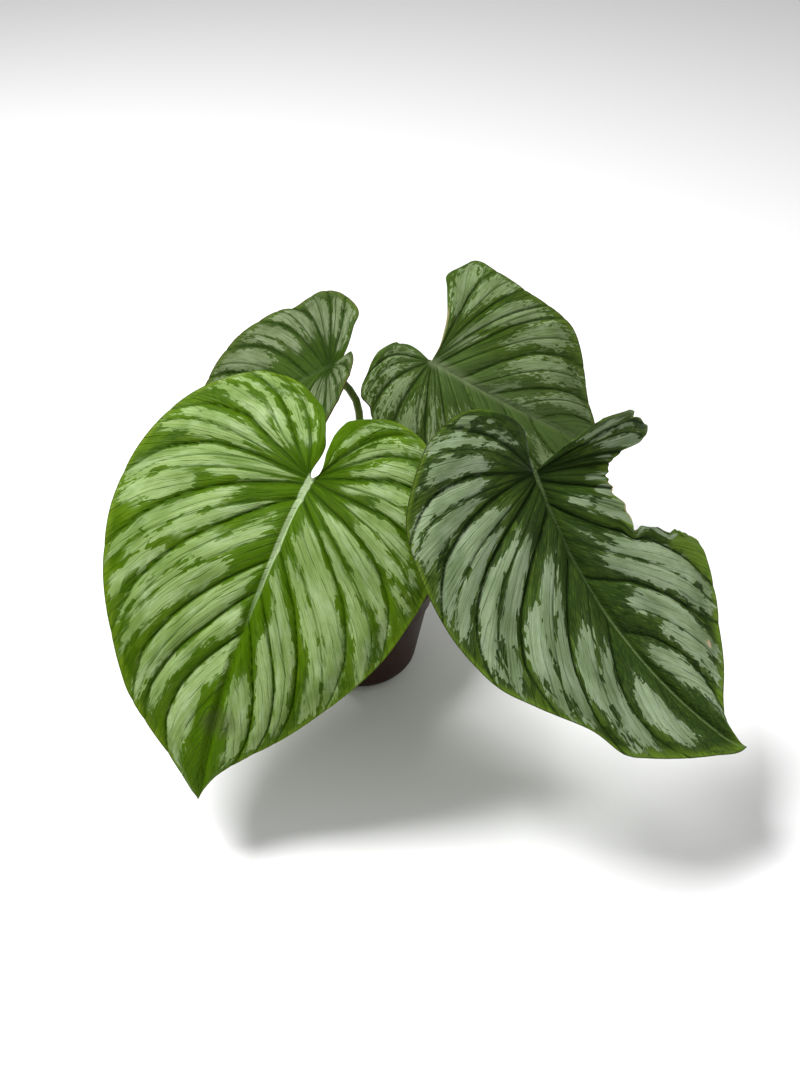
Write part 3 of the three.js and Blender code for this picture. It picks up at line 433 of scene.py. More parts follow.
# Colours are as the eye sees them, 0 to 255 in red, green and blue: core lies beside the
# midrib, line on the veins and hem at the very edge. veined is how dark the main veins are,
# feather how uneven, pleat how high the swells are and band how wide the light margin is. Of the
# silver, spread is how far it reaches past its patches, halo how strongly it shows round them,
# ragged and speckle how uneven and crisp how sharp its edges are; outward moves it out where
# under 1. By mm from the notch, ribs is half the midrib's width and pale how light it is; soft
# blurs its sides.
# The sheen colour is a painted highlight: a paler, greyer cast laid at random over parts of the
# silver.
LOOKS = {
    "a": SimpleNamespace(
        green=(70, 100, 2), deep=(46, 74, 0), core=(64, 96, 0), line=(46, 74, 0),
        margin=(92, 118, 22), hem=(70, 92, 10), rib=(164, 184, 138),
        silver=(144, 166, 108), shade=(118, 142, 78), painted_sheen=(158, 178, 132),
        veined=0.85, feather=0.4, pleat=1, band=5.5, soft=0.05, spread=0,
        halo=0.12, ragged=2.4, speckle=0.35, crisp=0.47, outward=0.96,
        ribs=[[0, 1.9], [12, 1.5], [35, 1.3], [60, 0.7], [135, 0.4]],
        pale=[[0, 0.95], [30, 0.8], [48, 0.4], [62, 0], [135, 0]],
    ),
    "b": SimpleNamespace(
        green=(50, 72, 20), deep=(30, 48, 12), core=(36, 56, 20), line=(28, 46, 12),
        margin=(98, 126, 36), hem=(54, 66, 24), rib=(112, 134, 84),
        silver=(152, 170, 134), shade=(120, 140, 102), painted_sheen=(148, 164, 136),
        veined=0.9, feather=0.7, pleat=1, band=8.5, soft=0.1, spread=0,
        halo=0.18, ragged=2.8, speckle=0.35, crisp=0.6, outward=0.98,
        ribs=[[0, 1.1], [40, 0.75], [147, 0.4]],
        pale=[[0, 0.8], [12, 0.3], [45, 0.25], [75, 0.6], [147, 0.35]],
    ),
    "c": SimpleNamespace(
        green=(64, 88, 26), deep=(44, 64, 16), core=(78, 100, 52), line=(42, 64, 14),
        margin=(82, 102, 36), hem=(50, 50, 26), rib=(128, 142, 104),
        silver=(132, 150, 108), shade=(104, 122, 78), painted_sheen=(128, 144, 110),
        veined=0.75, feather=1.2, pleat=0.6, band=8.5, soft=0.8, spread=0.15,
        halo=0.22, ragged=4.6, speckle=0.8, crisp=0.52, outward=1,
        ribs=[[0, 2.6], [40, 2], [111, 0.6]], pale=[[0, 0.55], [45, 0.35], [111, 0.1]],
    ),
    "d": SimpleNamespace(
        green=(56, 76, 24), deep=(38, 56, 14), core=(52, 78, 16), line=(38, 60, 14),
        margin=(76, 94, 36), hem=(78, 66, 38), rib=(86, 108, 62),
        silver=(118, 132, 96), shade=(98, 112, 76), painted_sheen=(122, 134, 104),
        veined=0.9, feather=1.5, pleat=0.7, band=8.5, soft=0.5, spread=0.1,
        halo=0.2, ragged=3, speckle=0.5, crisp=0.52, outward=1,
        ribs=[[0, 1.2], [83, 0.5]], pale=[[0, 0.25], [83, 0.2]],
    ),
}
UNDERSIDE = (132, 150, 104)
UNDERSIDE_VEIN = (158, 172, 122)
BRUISE = (198, 170, 138)
DRIED = (168, 156, 116)
# The colour of soft dark grey-green blots
DARK_BLOT = (62, 76, 34)
# What a vein number and a whole vein measure, for how far a place lies inside a patch
PATCH_METRIC = np.array([7.5, 24])

# Marks on the flat blade: millimetres along, millimetres out and radius
BLOT_STRENGTH = 0.85
BLOT_CORE = 0.4
BRUISES = {"b_left": [[102.4, 25.6, 1.5], [103.8, 25, 1.1]], "c_left": [[-1, 1, 1.6]]}
# Soft dark blots on blade a, at its notch and near its tip
DARK_BLOTS = {"a_left": [[-0.3, 1.6, 1.5], [101, 3, 8], [102, 0, 6]], "a_right": [[102, 0, 7]]}
FRESH = {"b_left": [[58, 46, 9], [68, 51, 11], [76, 52, 9]]}
# How many times narrower the light margin is, by vein number.
DARK_EDGES = {"a_left": [[0, 0.8], [5, 1.4]], "b_left": [[2, 3], [4, 1]],
              "b_right": [[1, 2.2], [8, 2.2], [11, 1]],
              "c_left": [[0, 3], [3.5, 2.5], [5, 1]], "c_right": [[0, 3]]}

# The tear: where its small bites begin and end, by vein number, and how deep they are. Its lower
# edge runs out at TEAR_FOOT and dips, or where negative rises, by TEAR_EDGE: [share of the vein,
# dip in vein numbers]. The dip fades between the numbers of TEAR_ABOVE and of TEAR_BELOW.
BITES_BEGIN = (4.6, 5.4)
BITES_END = (7.45, 7.2)
BITE_DEPTH = 0.024
DRIED_FROM = 5.6
TEAR_FOOT = (7.5, 7.56)
TEAR_COLUMNS = 41
TEAR_ABOVE = (7.1, 7.5)
TEAR_BELOW = (8.5, 7.56)
TEAR_EDGE = [[0.31, 0], [0.365, 0.45], [0.385, 0.42], [0.42, 0.12], [0.45, -0.06], [0.5, -0.06],
             [0.53, 0.12], [0.59, 0.28], [0.64, 0.32], [0.67, 0.2], [0.72, 0.08], [0.8, 0],
             [0.9, -0.08], [0.97, -0.08], [1, 0]]

# The map of a blade is this long and wide, and starts this far behind the notch. Its top ends
# and its underside begins at these shares. In the other map, along the veins, the right half's
# vein numbers follow on from RIGHT_VEINS.
MAP_LENGTH = 200
MAP_WIDTH = 160
MAP_START = 45
MAP_TOP = 0.66
MAP_UNDER = 0.67
RIGHT_VEINS = 20


def rotation(axis, degrees):
    """Turns about one axis, one for each angle."""
    angle = np.radians(np.atleast_1d(np.asarray(degrees, float)))
    turn = np.zeros((len(angle), 3, 3))
    turn[:, axis, axis] = 1
    i, j = (axis + 1) % 3, (axis + 2) % 3
    turn[:, i, i] = turn[:, j, j] = np.cos(angle)
    turn[:, i, j] = -np.sin(angle)
    turn[:, j, i] = np.sin(angle)
    return turn


def read_pairs(pairs, x):
    """The value at x on the straight lines between (place, value) pairs."""
    return np.interp(x, *zip(*pairs))


def smooth(low, high, x):
    """From 0 at low to 1 at high, without a corner at either."""
    t = np.clip((x - low) / (high - low), 0, 1)
    return t * t * (3 - 2 * t)


class Half:
    """One half of a blade: where its veins run on the flat and where it lies when bent."""

    def __init__(self, leaf, side):
        self.leaf = leaf
        self.half = leaf[side]
        self.sign = 1 if side == "left" else -1
        self.scale = leaf["scale"]
        self.length = self.half["edge"][-1][0] * self.scale
        self.curve = self.edge_curve()
        self.start = (rotation(2, leaf["heading"]) @ rotation(1, leaf["dip"])
                      @ rotation(0, leaf["roll"]))
        self.line = self.midrib_line()

    def edge_curve(self):
        """Close points of the edge and the share of its length that each is at."""
        points = np.array(self.half["edge"], float) * self.scale
        points = np.vstack([points[0], points, points[-1]])
        t = np.linspace(0, 1, CURVE_STEPS, endpoint=False)[:, None]
        fine = []
        for before, near, far, after in zip(points, points[1:], points[2:], points[3:]):
            leaving, coming = (far - before) / 2, (after - near) / 2
            fine.append((2 * near - 2 * far + leaving + coming) * t**3
                        + (3 * far - 3 * near - 2 * leaving - coming) * t**2
                        + leaving * t + near)
        fine = np.vstack([*fine, points[-1:]])
        steps = np.linalg.norm(np.diff(fine, axis=0), axis=1)
        along = np.concatenate([[0], np.cumsum(steps)])
        return along / along[-1], fine

    def edge_at(self, share):
        """The edge's flat points at shares of its length."""
        along, fine = self.curve
        return np.stack([np.interp(share, along, fine[:, i]) for i in (0, 1)], -1)

    def turns(self, x):
        """The blade's frame at x along the midrib."""
        leaf = self.leaf
        s = x / self.length
        back = 1 - (1 - np.minimum(-x / (LOBE_REACH * self.scale), 1)) ** 2
        dip = np.where(s < 0, self.half["lobe"] * back, leaf["droop"] * s + leaf["tipDroop"] * s**3)
        hooked = np.maximum((s - HOOK_START) / (1 - HOOK_START), 0) ** 2
        aside = leaf["sweep"] * s + leaf.get("hook", 0) * hooked
        return self.start @ rotation(2, aside) @ rotation(1, dip) @ rotation(0, leaf["twist"] * s)

    def midrib_line(self):
        """The midrib's points, one each millimetre, from behind the lobes to past the tip."""
        count = int(self.length) + MIDRIB_SPARE
        notch = np.array(self.leaf["notch"], float)
        ahead = notch + np.cumsum(self.turns(np.arange(count) + 0.5)[:, :, 0], 0)
        behind = notch - np.cumsum(self.turns(-np.arange(count) - 0.5)[:, :, 0], 0)
        return np.arange(-count, count + 1), np.vstack([behind[::-1], notch[None], ahead])

    def bent(self, flat, height):
        """The points of the bent blade over flat points, raised by height."""
        x, out = flat[:, 0], flat[:, 1]
        place, line = self.line
        point = np.stack([np.interp(x, place, line[:, i]) for i in range(3)], -1)
        fold = np.radians(np.array(self.half["fold"], float))
        begun, ended = (np.interp(x / self.length, FOLD_PLACES, fold[:, i]) for i in (0, 1))
        bend = (ended - begun) / (self.leaf["halfWidth"] * self.scale)
        bend = np.where(np.abs(bend) < 1e-6, 1e-6, bend)
        slope = begun + bend * out
        aside = (np.sin(slope) - np.sin(begun)) / bend - np.sin(slope) * height
        raised = (np.cos(begun) - np.cos(slope)) / bend + np.cos(slope) * height
        local = np.stack([np.zeros_like(aside), aside * self.sign, raised], -1)
        return point + np.einsum("nij,nj->ni", self.turns(x), local)

    def flat(self, k, r):
        """The flat points at r along vein number k."""
        half = self.half
        lobe_edge = half.get("lobeEdge", LOBE_EDGE)
        lobe_bow = half.get("lobeBow", LOBE_BOW)

        def arc(start, end, bow):
            across = end - start
            side = np.stack([-across[:, 1], across[:, 0]], -1)
            control = start + VEIN_LEAN * across + bow[:, None] * side
            t = r[:, None]
            return start * (1 - t) ** 2 + control * 2 * t * (1 - t) + end * t * t

        numbers = np.arange(VEINS + 1)
        start = np.stack([np.interp(k, numbers, VEIN_STARTS) * self.length, 0 * k], -1)
        pulled = read_pairs(half["pulled"], k) if "pulled" in half else k
        end = self.edge_at(lobe_edge + (1 - lobe_edge) * np.interp(pulled, numbers, VEIN_ENDS))
        bow = VEIN_BOW + (lobe_bow - VEIN_BOW) * np.exp(-((k / VEINS / 0.2) ** 2))
        point = arc(start, end, bow)
        if "bulge" in half:
            # r (1 - r)^2 is at most 1 / 6.75
            point[:, 0] += read_pairs(half["bulge"], k) * self.scale * 6.75 * r * (1 - r) ** 2
        near = np.maximum(1 - k / LOBE_VEINS, 0) ** 2
        chord = arc(0 * start, self.edge_at(0 * k + lobe_edge), 0 * k + lobe_bow)
        return point + (self.edge_at(lobe_edge * r) - chord) * near[:, None]


def vein_lines(lines, r):
    """The vein numbers where each of the sunk veins is at r, one column for each vein."""
    return np.stack([np.interp(r, VEIN_ROWS, line) for line in lines], -1)


def inside_distance(rows, k, r):
    """How far each place lies inside a patch, in the stretched measure of PATCH_METRIC."""
    rows = np.array(rows)
    ring = np.vstack([rows[:, [1, 0]], rows[::-1][:, [2, 0]]]) * PATCH_METRIC
    point = np.stack([k, r], -1) * PATCH_METRIC
    inside = np.zeros(len(k), bool)
    nearest = np.full(len(k), np.inf)
    for a, b in zip(ring, np.roll(ring, -1, 0)):
        edge = b - a
        share = np.clip((point - a) @ edge / (edge @ edge), 0, 1)
        nearest = np.minimum(nearest, np.linalg.norm(point - a - share[:, None] * edge, axis=1))
        crosses = (a[1] > point[:, 1]) != (b[1] > point[:, 1])
        if a[1] != b[1]:
            at = a[0] + (point[:, 1] - a[1]) / (b[1] - a[1]) * edge[0]
            inside ^= crosses & (point[:, 0] < at)
    return np.where(inside, nearest, -nearest)


def attach(made, key, value):
    """Sets a node's input, or links it where the value comes from another node."""
    if isinstance(value, Value):
        value.tree.links.new(value.output, made.inputs[key])
    else:
        made.inputs[key].default_value = value


def node(tree, kind, inputs=(), output=0, **settings):
    """An output of a new node with these inputs and settings."""
    made = tree.nodes.new(kind)
    for name, value in settings.items():
        setattr(made, name, value)
    for key, value in dict(inputs).items():
        attach(made, key, value)
    return Value(made.outputs[output])


class Value:
    """What a node gives, which takes part in sums as a number does."""

    def __init__(self, output):
        self.output = output
        self.tree = output.id_data

    def calc(self, operation, other=0.0):
        return node(self.tree, "ShaderNodeMath", {0: self, 1: other}, operation=operation)

    def __add__(self, other):
        return self.calc("ADD", other)

    def __sub__(self, other):
        return self.calc("SUBTRACT", other)

    def __mul__(self, other):
        return self.calc("MULTIPLY", other)

    def fade(self, low, high, start=0.0, end=1.0):
        """Start below low, end above high, and smoothly from one to the other between."""
        return node(self.tree, "ShaderNodeMapRange", {0: self, 1: low, 2: high, 3: start, 4: end},
                    interpolation_type="SMOOTHSTEP")

    def texture(self, kind, stretch, output=0, **inputs):
        """A texture of one kind over a stretched place."""
        scaled = node(self.tree, "ShaderNodeMapping", {"Vector": self, "Scale": stretch})
        return node(self.tree, kind, {"Vector": scaled, "Scale": 1.0, **inputs}, output)

    def noise(self, stretch, detail=3.0):
        """Soft noise around 0.5 over a stretched place."""
        return self.texture("ShaderNodeTexNoise", stretch, Detail=detail)

    def blocks(self, stretch):
        """A random number for each of many small uneven blocks over a stretched place."""
        cells = self.texture("ShaderNodeTexVoronoi", stretch, "Color")
        return node(self.tree, "ShaderNodeSeparateColor", {0: cells})


def colour(value):
    """A colour for a node, from one as the eye sees it or from another node."""
    if isinstance(value, Value):
        return value
    part = [v / 255 for v in value]
    return (*[v / 12.92 if v <= 0.04045 else ((v + 0.055) / 1.055) ** 2.4 for v in part], 1)


def layers(skin, *covers):
    """A colour with others laid over it in turn, each by its share from 0 to 1."""
    for share, cover in covers:
        skin = node(share.tree, "ShaderNodeMix", {0: share, 6: colour(skin), 7: colour(cover)}, 2,
                    data_type="RGBA")
    return skin


class Surface:
    """A material in the making."""

    def __init__(self, name, roughness):
        self.material = bpy.data.materials.new(name)
        self.material.use_nodes = True
        self.tree = self.material.node_tree
        self.put("Roughness", roughness)

    def put(self, key, value):
        """Sets or links an input of the shader."""
        attach(self.tree.nodes["Principled BSDF"], key, value)

    def measure(self, name):
        """A number that each point of the mesh carries."""
        return node(self.tree, "ShaderNodeAttribute", output="Fac", attribute_name=name)

    def place(self):
        """Where a point lies on its object, in metres."""
        return node(self.tree, "ShaderNodeTexCoord", output="Object")

    def finish(self, skin, height, distance, strength=1.0):
        """The material, with its colour and its fine relief."""
        self.put("Base Color", skin)
        fine = {"Height": height, "Distance": distance, "Strength": strength}
        self.put("Normal", node(self.tree, "ShaderNodeBump", fine))
        return self.material


def vein_noises(tree):
    """Noises and blocks drawn out along the veins, and the fine lines between the veins."""
    veins = node(tree, "ShaderNodeUVMap", uv_map="Veins")
    noise = SimpleNamespace(
        streak=veins.noise((9, 3.4, 1), 4), grain=veins.noise((34, 20, 1), 2),
        cloud=veins.noise((1.1, 3, 1), 2), drift=veins.noise((2.3, 5, 1), 2),
        thread=veins.noise((24, 0.5, 1), 2),
        large=veins.blocks((4.5, 11, 1)), small=veins.blocks((11, 26, 1)))
    wander = node(tree, "ShaderNodeSeparateXYZ", {0: veins}) * 3.4 + noise.cloud * 1.6
    beside = (wander.calc("FRACT") - 0.5).calc("ABSOLUTE")
    noise.line = beside.fade(0, 0.09, 1, 0) * noise.streak.fade(0.4, 0.6)
    return noise


def silver_reach(blade, look, noise):
    """How far each place lies inside the uneven patches."""
    reach = blade.measure("silver")
    for uneven, strength in ((noise.streak, 1.2), (noise.large, 0.55),
                             (noise.small, look.speckle)):
        reach += (uneven - 0.5) * (look.ragged * strength)
    return reach


def silver_share(look, noise, reach):
    """How much silver shows: sharp at some edges of its patches and soft at others."""
    ends = (look.crisp, look.crisp + 0.12)
    soft = reach.fade(-0.9, 1.1) * noise.drift.fade(*ends)
    sharp = reach.fade(-0.08, 0.1) * noise.drift.fade(*ends, 1, 0)
    return (soft + sharp) * noise.cloud.fade(0.3, 0.6, 0.7, 1)


def green_tissue(blade, look, noise, reach):
    """The green, lighter near the margin and faintly silver round the patches."""
    edge = blade.measure("light_edge") + noise.large * 3.5
    halo = reach.fade(-2.2, 0.2) * noise.grain.fade(0.35, 0.6)
    return layers(
        look.deep,
        (noise.cloud.fade(0.35, 0.65), look.green),
        (noise.large.fade(0.3, 0.9, 0, 0.35), look.margin),
        (blade.measure("core") * 0.7, look.core),
        (edge.fade(1.5, look.band, 0.95, 0), look.margin),
        (blade.measure("fresh"), look.margin),
        (halo * look.halo, look.shade),
        (noise.thread.fade(0.35, 0.62, 0.3, 0), look.deep),
        (noise.line * 0.3, look.deep),
        (noise.grain.fade(0.5, 0.75, 0, 0.4), look.margin))


def silver_tissue(look, noise):
    """The patches' silver, with threads of green along the veins and a painted sheen, a highlight
    laid at random over parts of it.
    """
    return layers(
        look.shade,
        (noise.cloud.fade(0.3, 0.7), look.silver),
        (noise.small.fade(0, 1, 0.25, 0), look.shade),
        (noise.thread.fade(0.35, 0.62, 0.32, 0), look.green),
        (noise.line * 0.28, look.green),
        # painted highlight: the sheen colour over parts of the silver, where a soft noise is high
        (noise.drift.fade(0.45, 0.7, 0, 0.6), look.painted_sheen),
        (noise.grain.fade(0.25, 0.5, 0.25, 0), look.green))


def blade_material(letter):
    """Green tissue with brushed silver patches, sunk vein lines, margin and midrib."""
    look = LOOKS[letter]
    blade = Surface(f"blade_{letter}", 0.42)
    noise = vein_noises(blade.tree)
    reach = silver_reach(blade, look, noise)
    feather = (noise.streak + noise.small) * look.feather
    vein = blade.measure("main_vein") + look.feather - feather
    soft = look.soft
    rib = blade.measure("beside_rib").fade(max(0.8 - soft, 0), 1.1 + soft, 1, 0)
    under = layers(
        UNDERSIDE,
        (noise.streak.fade(0.3, 0.7), look.margin),
        (blade.measure("main_vein").fade(0.3, 1.2, 0.7, 0), UNDERSIDE_VEIN))
    skin = layers(
        green_tissue(blade, look, noise, reach),
        (silver_share(look, noise, reach), silver_tissue(look, noise)),
        (blade.measure("side_vein").fade(0.15, 0.7, 0.7, 0), look.line),
        (vein.fade(0.3, 1.3, look.veined, 0), look.line),
        (rib * blade.measure("pale_rib"), look.rib),
        (blade.measure("margin").fade(0.2, 0.8, 0.85, 0), look.hem),
        # soft dark grey-green blots, stronger where the streaks are
        (blade.measure("dark_blot") * noise.streak.fade(0.3, 0.7, 0.5, 0.9), DARK_BLOT),
        (blade.measure("bruise"), BRUISE),
        (blade.measure("dried"), DRIED),
        (blade.measure("under"), under))
    blade.put("Roughness", noise.grain.fade(0.3, 0.7, 0.36, 0.5))
    blade.put("Specular IOR Level", 0.05)
    height = noise.thread * 0.9 - noise.line * 0.8 + noise.grain * 0.35
    return blade.finish(skin, height, 0.0005, 0.9)


def blots(places, flat):
    """How strongly each flat point is marked by round blots."""
    mark = np.zeros(len(flat))
    for x, y, radius in places:
        away = np.hypot(flat[:, 0] - x, flat[:, 1] - y)
        mark = np.maximum(mark, BLOT_STRENGTH * smooth(radius, radius * BLOT_CORE, away))
    return mark


def dried_edge(name, k, row, gap, margin):
    """The dried edge above the tear of one blade and beside the notch of another."""
    if name == "b_left":
        return 0.85 * smooth(1.1, 0.4, margin) * (k > DRIED_FROM) * (k <= TEAR_FOOT[0])
    if name == "c_left":
        return 0.5 * smooth(0.8, 0.3, k * gap) * smooth(0.52, 0.42, row) * smooth(0.04, 0.14, row)
    return 0 * k


def groove(depth, away, width):
    """How far the tissue sinks away from the middle of a groove."""
    return depth * np.exp(-((away / width) ** 2))


def swelling(name, k, row, gap):
    """The height of the tissue between its veins, and how far off those are."""
    mains = vein_lines(MAIN_VEINS[name], row)
    sides = vein_lines(SIDE_VEINS[name], row)
    first, last = (np.full((len(k), 1), end) for end in SWELL_ENDS)
    fences = np.concatenate([first, mains, last], 1)
    past = (fences <= k[:, None]).sum(1)
    each = np.arange(len(k))
    low, high = fences[each, past - 1], fences[each, np.minimum(past, fences.shape[1] - 1)]
    share = np.clip((k - low) / np.maximum(high - low, 1e-6), 0, 1)
    width = (high - low) * gap
    main_vein, side_vein = (np.abs(lines - k[:, None]).min(1) * gap for lines in (mains, sides))
    swell = np.minimum(width * PLEAT_SHARE, PLEAT_MAX) * np.sin(np.pi * share) ** PLEAT_FULLNESS
    height = swell * LOOKS[name[0]].pleat
    height -= groove(np.minimum(width * SIDE_GROOVE_SHARE, GROOVE), side_vein, SIDE_GROOVE_WIDTH)
    height -= groove(GROOVE * np.minimum(width / WIDE_SWELL, 1), main_vein, MAIN_GROOVE_WIDTH)
    return height, main_vein, side_vein


def relief(name, half, k, row, torn, flat):
    """The height of the quilted tissue, and the marks that the material reads."""
    look = LOOKS[name[0]]
    x, out = flat[:, 0], flat[:, 1]
    r = row * torn
    gap = np.linalg.norm(half.flat(np.minimum(k + 0.5, VEINS), r)
                         - half.flat(np.maximum(k - 0.5, 0), r), axis=1)
    height, main_vein, side_vein = swelling(name, k, row, gap)
    height *= (1 - EDGE_FLATTENING * smooth(*EDGE_BEGINS, r)) * smooth(*SWELL_BEGINS, out)
    rib_width = read_pairs(look.ribs, x)
    ridge = smooth(*(rib_width * side for side in RIB_SIDES), out)
    height += RIB_HEIGHT * ridge * smooth(*RIB_BEGINS, x)
    patches = [inside_distance(patch, k, row * look.outward) for patch in PATCHES[name]]
    margin = np.linalg.norm(flat - half.flat(k, torn), axis=1)
    marks = {
        "silver": look.spread + np.max(patches, 0), "core": smooth(*CORE_SIDES, out),
        "main_vein": main_vein, "side_vein": side_vein, "beside_rib": out / rib_width,
        "pale_rib": smooth(*PALE_BEGINS, x) * read_pairs(look.pale, x),
        "margin": margin, "light_edge": margin * read_pairs(DARK_EDGES.get(name, [[0, 1]]), k),
        "dried": dried_edge(name, k, row, gap, margin),
    }
    for mark, places in (("bruise", BRUISES), ("dark_blot", DARK_BLOTS), ("fresh", FRESH)):
        marks[mark] = blots(places.get(name, []), flat)
    return height, marks


def tear(half, k, row):
    """What is left of each vein, and by how many numbers the veins dip beside the tear."""
    if "torn" not in half.half:
        return 0 * k + 1, 0 * k
    bites = smooth(*BITES_BEGIN, k) * smooth(*BITES_END, k) * np.sin(7.5 * k + 1) * np.sin(2.3 * k)
    torn = read_pairs(half.half["torn"], k) + BITE_DEPTH * bites
    return torn, smooth(*TEAR_ABOVE, k) * smooth(*TEAR_BELOW, k) * read_pairs(TEAR_EDGE, row * torn)


def slab_faces(columns, rows):
    """The faces of a sheet's top, underside, rim and the edge at its first column."""
    n = columns * rows
    grid = np.arange(n).reshape(columns, rows)
    a, b, c, d = grid[:-1, :-1], grid[1:, :-1], grid[1:, 1:], grid[:-1, 1:]
    top = np.stack([a, b, c, d], -1).reshape(-1, 4)
    edges = [np.stack([line[:-1], line[1:], line[1:] + n, line[:-1] + n], -1)
             for line in (grid[:, -1], grid[0])]
    return np.concatenate([top, top[:, ::-1] + n, *edges])


def map_places(half, flat):
    """Where the top and then the underside lie on the blade's map."""
    across = flat[:, 1] * half.sign / MAP_WIDTH + 0.5
    along = (flat[:, 0] + MAP_START) / MAP_LENGTH
    under = MAP_UNDER + across * (1 - MAP_UNDER)
    return np.stack([np.concatenate([along, along / 2]),
                     np.concatenate([across * MAP_TOP, under])], -1)


def half_blade(letter, side):
    """Points, faces, marks and map places of one half: its top, underside and edges."""
    half = Half(LEAVES[letter], side)
    places = np.linspace(0, VEINS, VEINS * COLUMNS_PER_VEIN + 1)
    if letter == "b":
        places = np.union1d(places, np.linspace(*TEAR_FOOT, TEAR_COLUMNS))
    k, row = (v.ravel() for v in np.meshgrid(places, np.linspace(0, 1, ROWS + 1), indexing="ij"))
    torn, dip = tear(half, k, row)
    r = row * torn
    flat = half.flat(k + dip, r)
    height, marks = relief(f"{letter}_{side}", half, k, row, torn, flat)
    rib = BLADE_THICKNESS + RIB_DEPTH * (1 - flat[:, 0] / half.length)
    depth = np.where(row == 0, np.maximum(rib, BLADE_THICKNESS), BLADE_THICKNESS)
    points = np.concatenate([half.bent(flat, height), half.bent(flat, height - depth)])
    marks["under"] = 0 * k
    marks = {name: np.concatenate([value, value]) for name, value in marks.items()}
    marks["under"][len(k):] = (row < 1) & (k > 0)
    faces = slab_faces(len(places), ROWS + 1)
    if side == "right":
        faces = faces[:, ::-1]
    veins = np.tile(np.stack([k + (RIGHT_VEINS if side == "right" else 0), r], -1), (2, 1))
    return points, faces, marks, map_places(half, flat), veins


def add_object(name, mesh, material):
    """A new object in the scene, with one material."""
    made = bpy.data.objects.new(name, mesh)
    bpy.context.scene.collection.objects.link(made)
    mesh.materials.append(material)
    return made


def carry(piece, body_slot, *nodes):
    """Makes a piece ride on the root body and hides the solids that it stands for. body_slot is not
    used.
    """
    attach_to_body(piece, "root")
    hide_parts(*nodes)


def joined_smooth(mesh, start, sharp):
    """Joins points at one place and shades the mesh smooth up to its sharp edges."""
    bm = bmesh.new()
    bm.from_mesh(start)
    bmesh.ops.remove_doubles(bm, verts=bm.verts, dist=SAME_PLACE)
    bm.to_mesh(mesh)
    bm.free()
    mesh.shade_smooth()
    mesh.set_sharp_from_angle(angle=math.radians(sharp))


def blade(letter):
    """A blade from its two halves, joined along the midrib."""
    halves = [half_blade(letter, side) for side in ("left", "right")]
    shift = len(halves[0][0])
    points = np.concatenate([half[0] for half in halves]) * MM
    faces = np.concatenate([halves[0][1], halves[1][1] + shift])
    mesh = bpy.data.meshes.new(f"leaf_{letter}")
    mesh.from_pydata(points.tolist(), [], faces.tolist())
    for name in halves[0][2]:
        values = np.concatenate([half[2][name] for half in halves])
        mesh.attributes.new(name, "FLOAT", "POINT").data.foreach_set("value", values)
    corner = np.zeros(len(mesh.loops), np.int32)
    mesh.loops.foreach_get("vertex_index", corner)
    for name, which in (("OFBake", 3), ("Veins", 4)):
        places = np.concatenate([half[which] for half in halves])[corner]
        mesh.uv_layers.new(name=name).data.foreach_set("uv", places.ravel())
    joined_smooth(mesh, mesh, sharp=60)
    piece = add_object(f"leaf_{letter}", mesh, blade_material(letter))
    carry(piece, f"blade_{letter}", f"blade_{letter}")


def stalk_material():
    """Smooth olive green, faintly streaked along the stalk."""
    stalk = Surface("stalk", 0.4)
    streak = stalk.place().noise((900, 900, 60))
    cloud = stalk.place().noise((60, 60, 40), 2)
    skin = layers((74, 98, 30), (streak.fade(0.3, 0.7), (106, 130, 52)),
                  (cloud.fade(0.4, 0.7, 0, 0.6), (124, 136, 66)))
    return stalk.finish(skin, streak, 0.0002)


def stem_material():
    """Olive brown, ringed by fine lines."""
    stem = Surface("stem", 0.6)
    rings = stem.place().noise((60, 60, 900))
    cloud = stem.place().noise((150, 150, 150))
    skin = layers((74, 66, 34), (rings.fade(0.35, 0.65), (104, 100, 54)),
                  (cloud.fade(0.5, 0.75), (70, 48, 28)))
    return stem.finish(skin, rings, 0.0008)


def pot_material():
    """Dark brown moulded plastic with a fine grain and a few pale specks."""
    pot = Surface("pot", 0.45)
    cloud = pot.place().noise((50, 50, 30))
    grain = pot.place().noise((1500, 1500, 1500), 2)
    skin = layers((36, 16, 9), (cloud.fade(0.35, 0.65), (44, 21, 13)),
                  (grain.fade(0.6, 0.8, 0, 0.25), (72, 54, 42)))
    pot.put("Roughness", cloud.fade(0.3, 0.7, 0.38, 0.52))
    pot.put("Specular IOR Level", 0.12)
    return pot.finish(skin, grain, 0.00012)


def soil_material():
    """Dark bark, and pale where a grain is marked so."""
    mix = Surface("bark_mix", 0.85)
    cloud = mix.place().noise((160, 160, 160))
    grain = mix.place().noise((1200, 1200, 1200))
    skin = layers((34, 22, 15), (cloud.fade(0.4, 0.62), (84, 56, 36)),
                  (grain.fade(0.45, 0.7, 0, 0.6), (26, 17, 12)),
                  (mix.measure("pale"), (198, 190, 176)))
    return mix.finish(skin, grain, 0.0006)


def add_chip(bm, chance, radius, bed, is_pale):
    """A bark chip, or a rounder pale grain, lying at random on the bed."""
    pale = bm.verts.layers.float["pale"]
    away = radius * CHIP_SPREAD * math.sqrt(chance.random())
    around = chance.random() * math.tau
    least, more, squash = GRAIN if is_pale else BARK
    size = (least + more * chance.random()) * MM
    chip = bmesh.ops.create_icosphere(bm, subdivisions=1, radius=size)["verts"]
    bmesh.ops.scale(bm, verts=chip, vec=squash)
    for vert in chip:
        vert.co *= 0.85 + 0.3 * chance.random()
        vert[pale] = float(is_pale)
    turn = mathutils.Euler(chance.random(3) * (CHIP_TILT, CHIP_TILT, math.tau)).to_matrix()
    bmesh.ops.rotate(bm, verts=chip, matrix=turn)
    rest = bed + 0.5 * size * chance.random()
    place = (away * math.cos(around), away * math.sin(around), rest)
    bmesh.ops.translate(bm, verts=chip, vec=place)


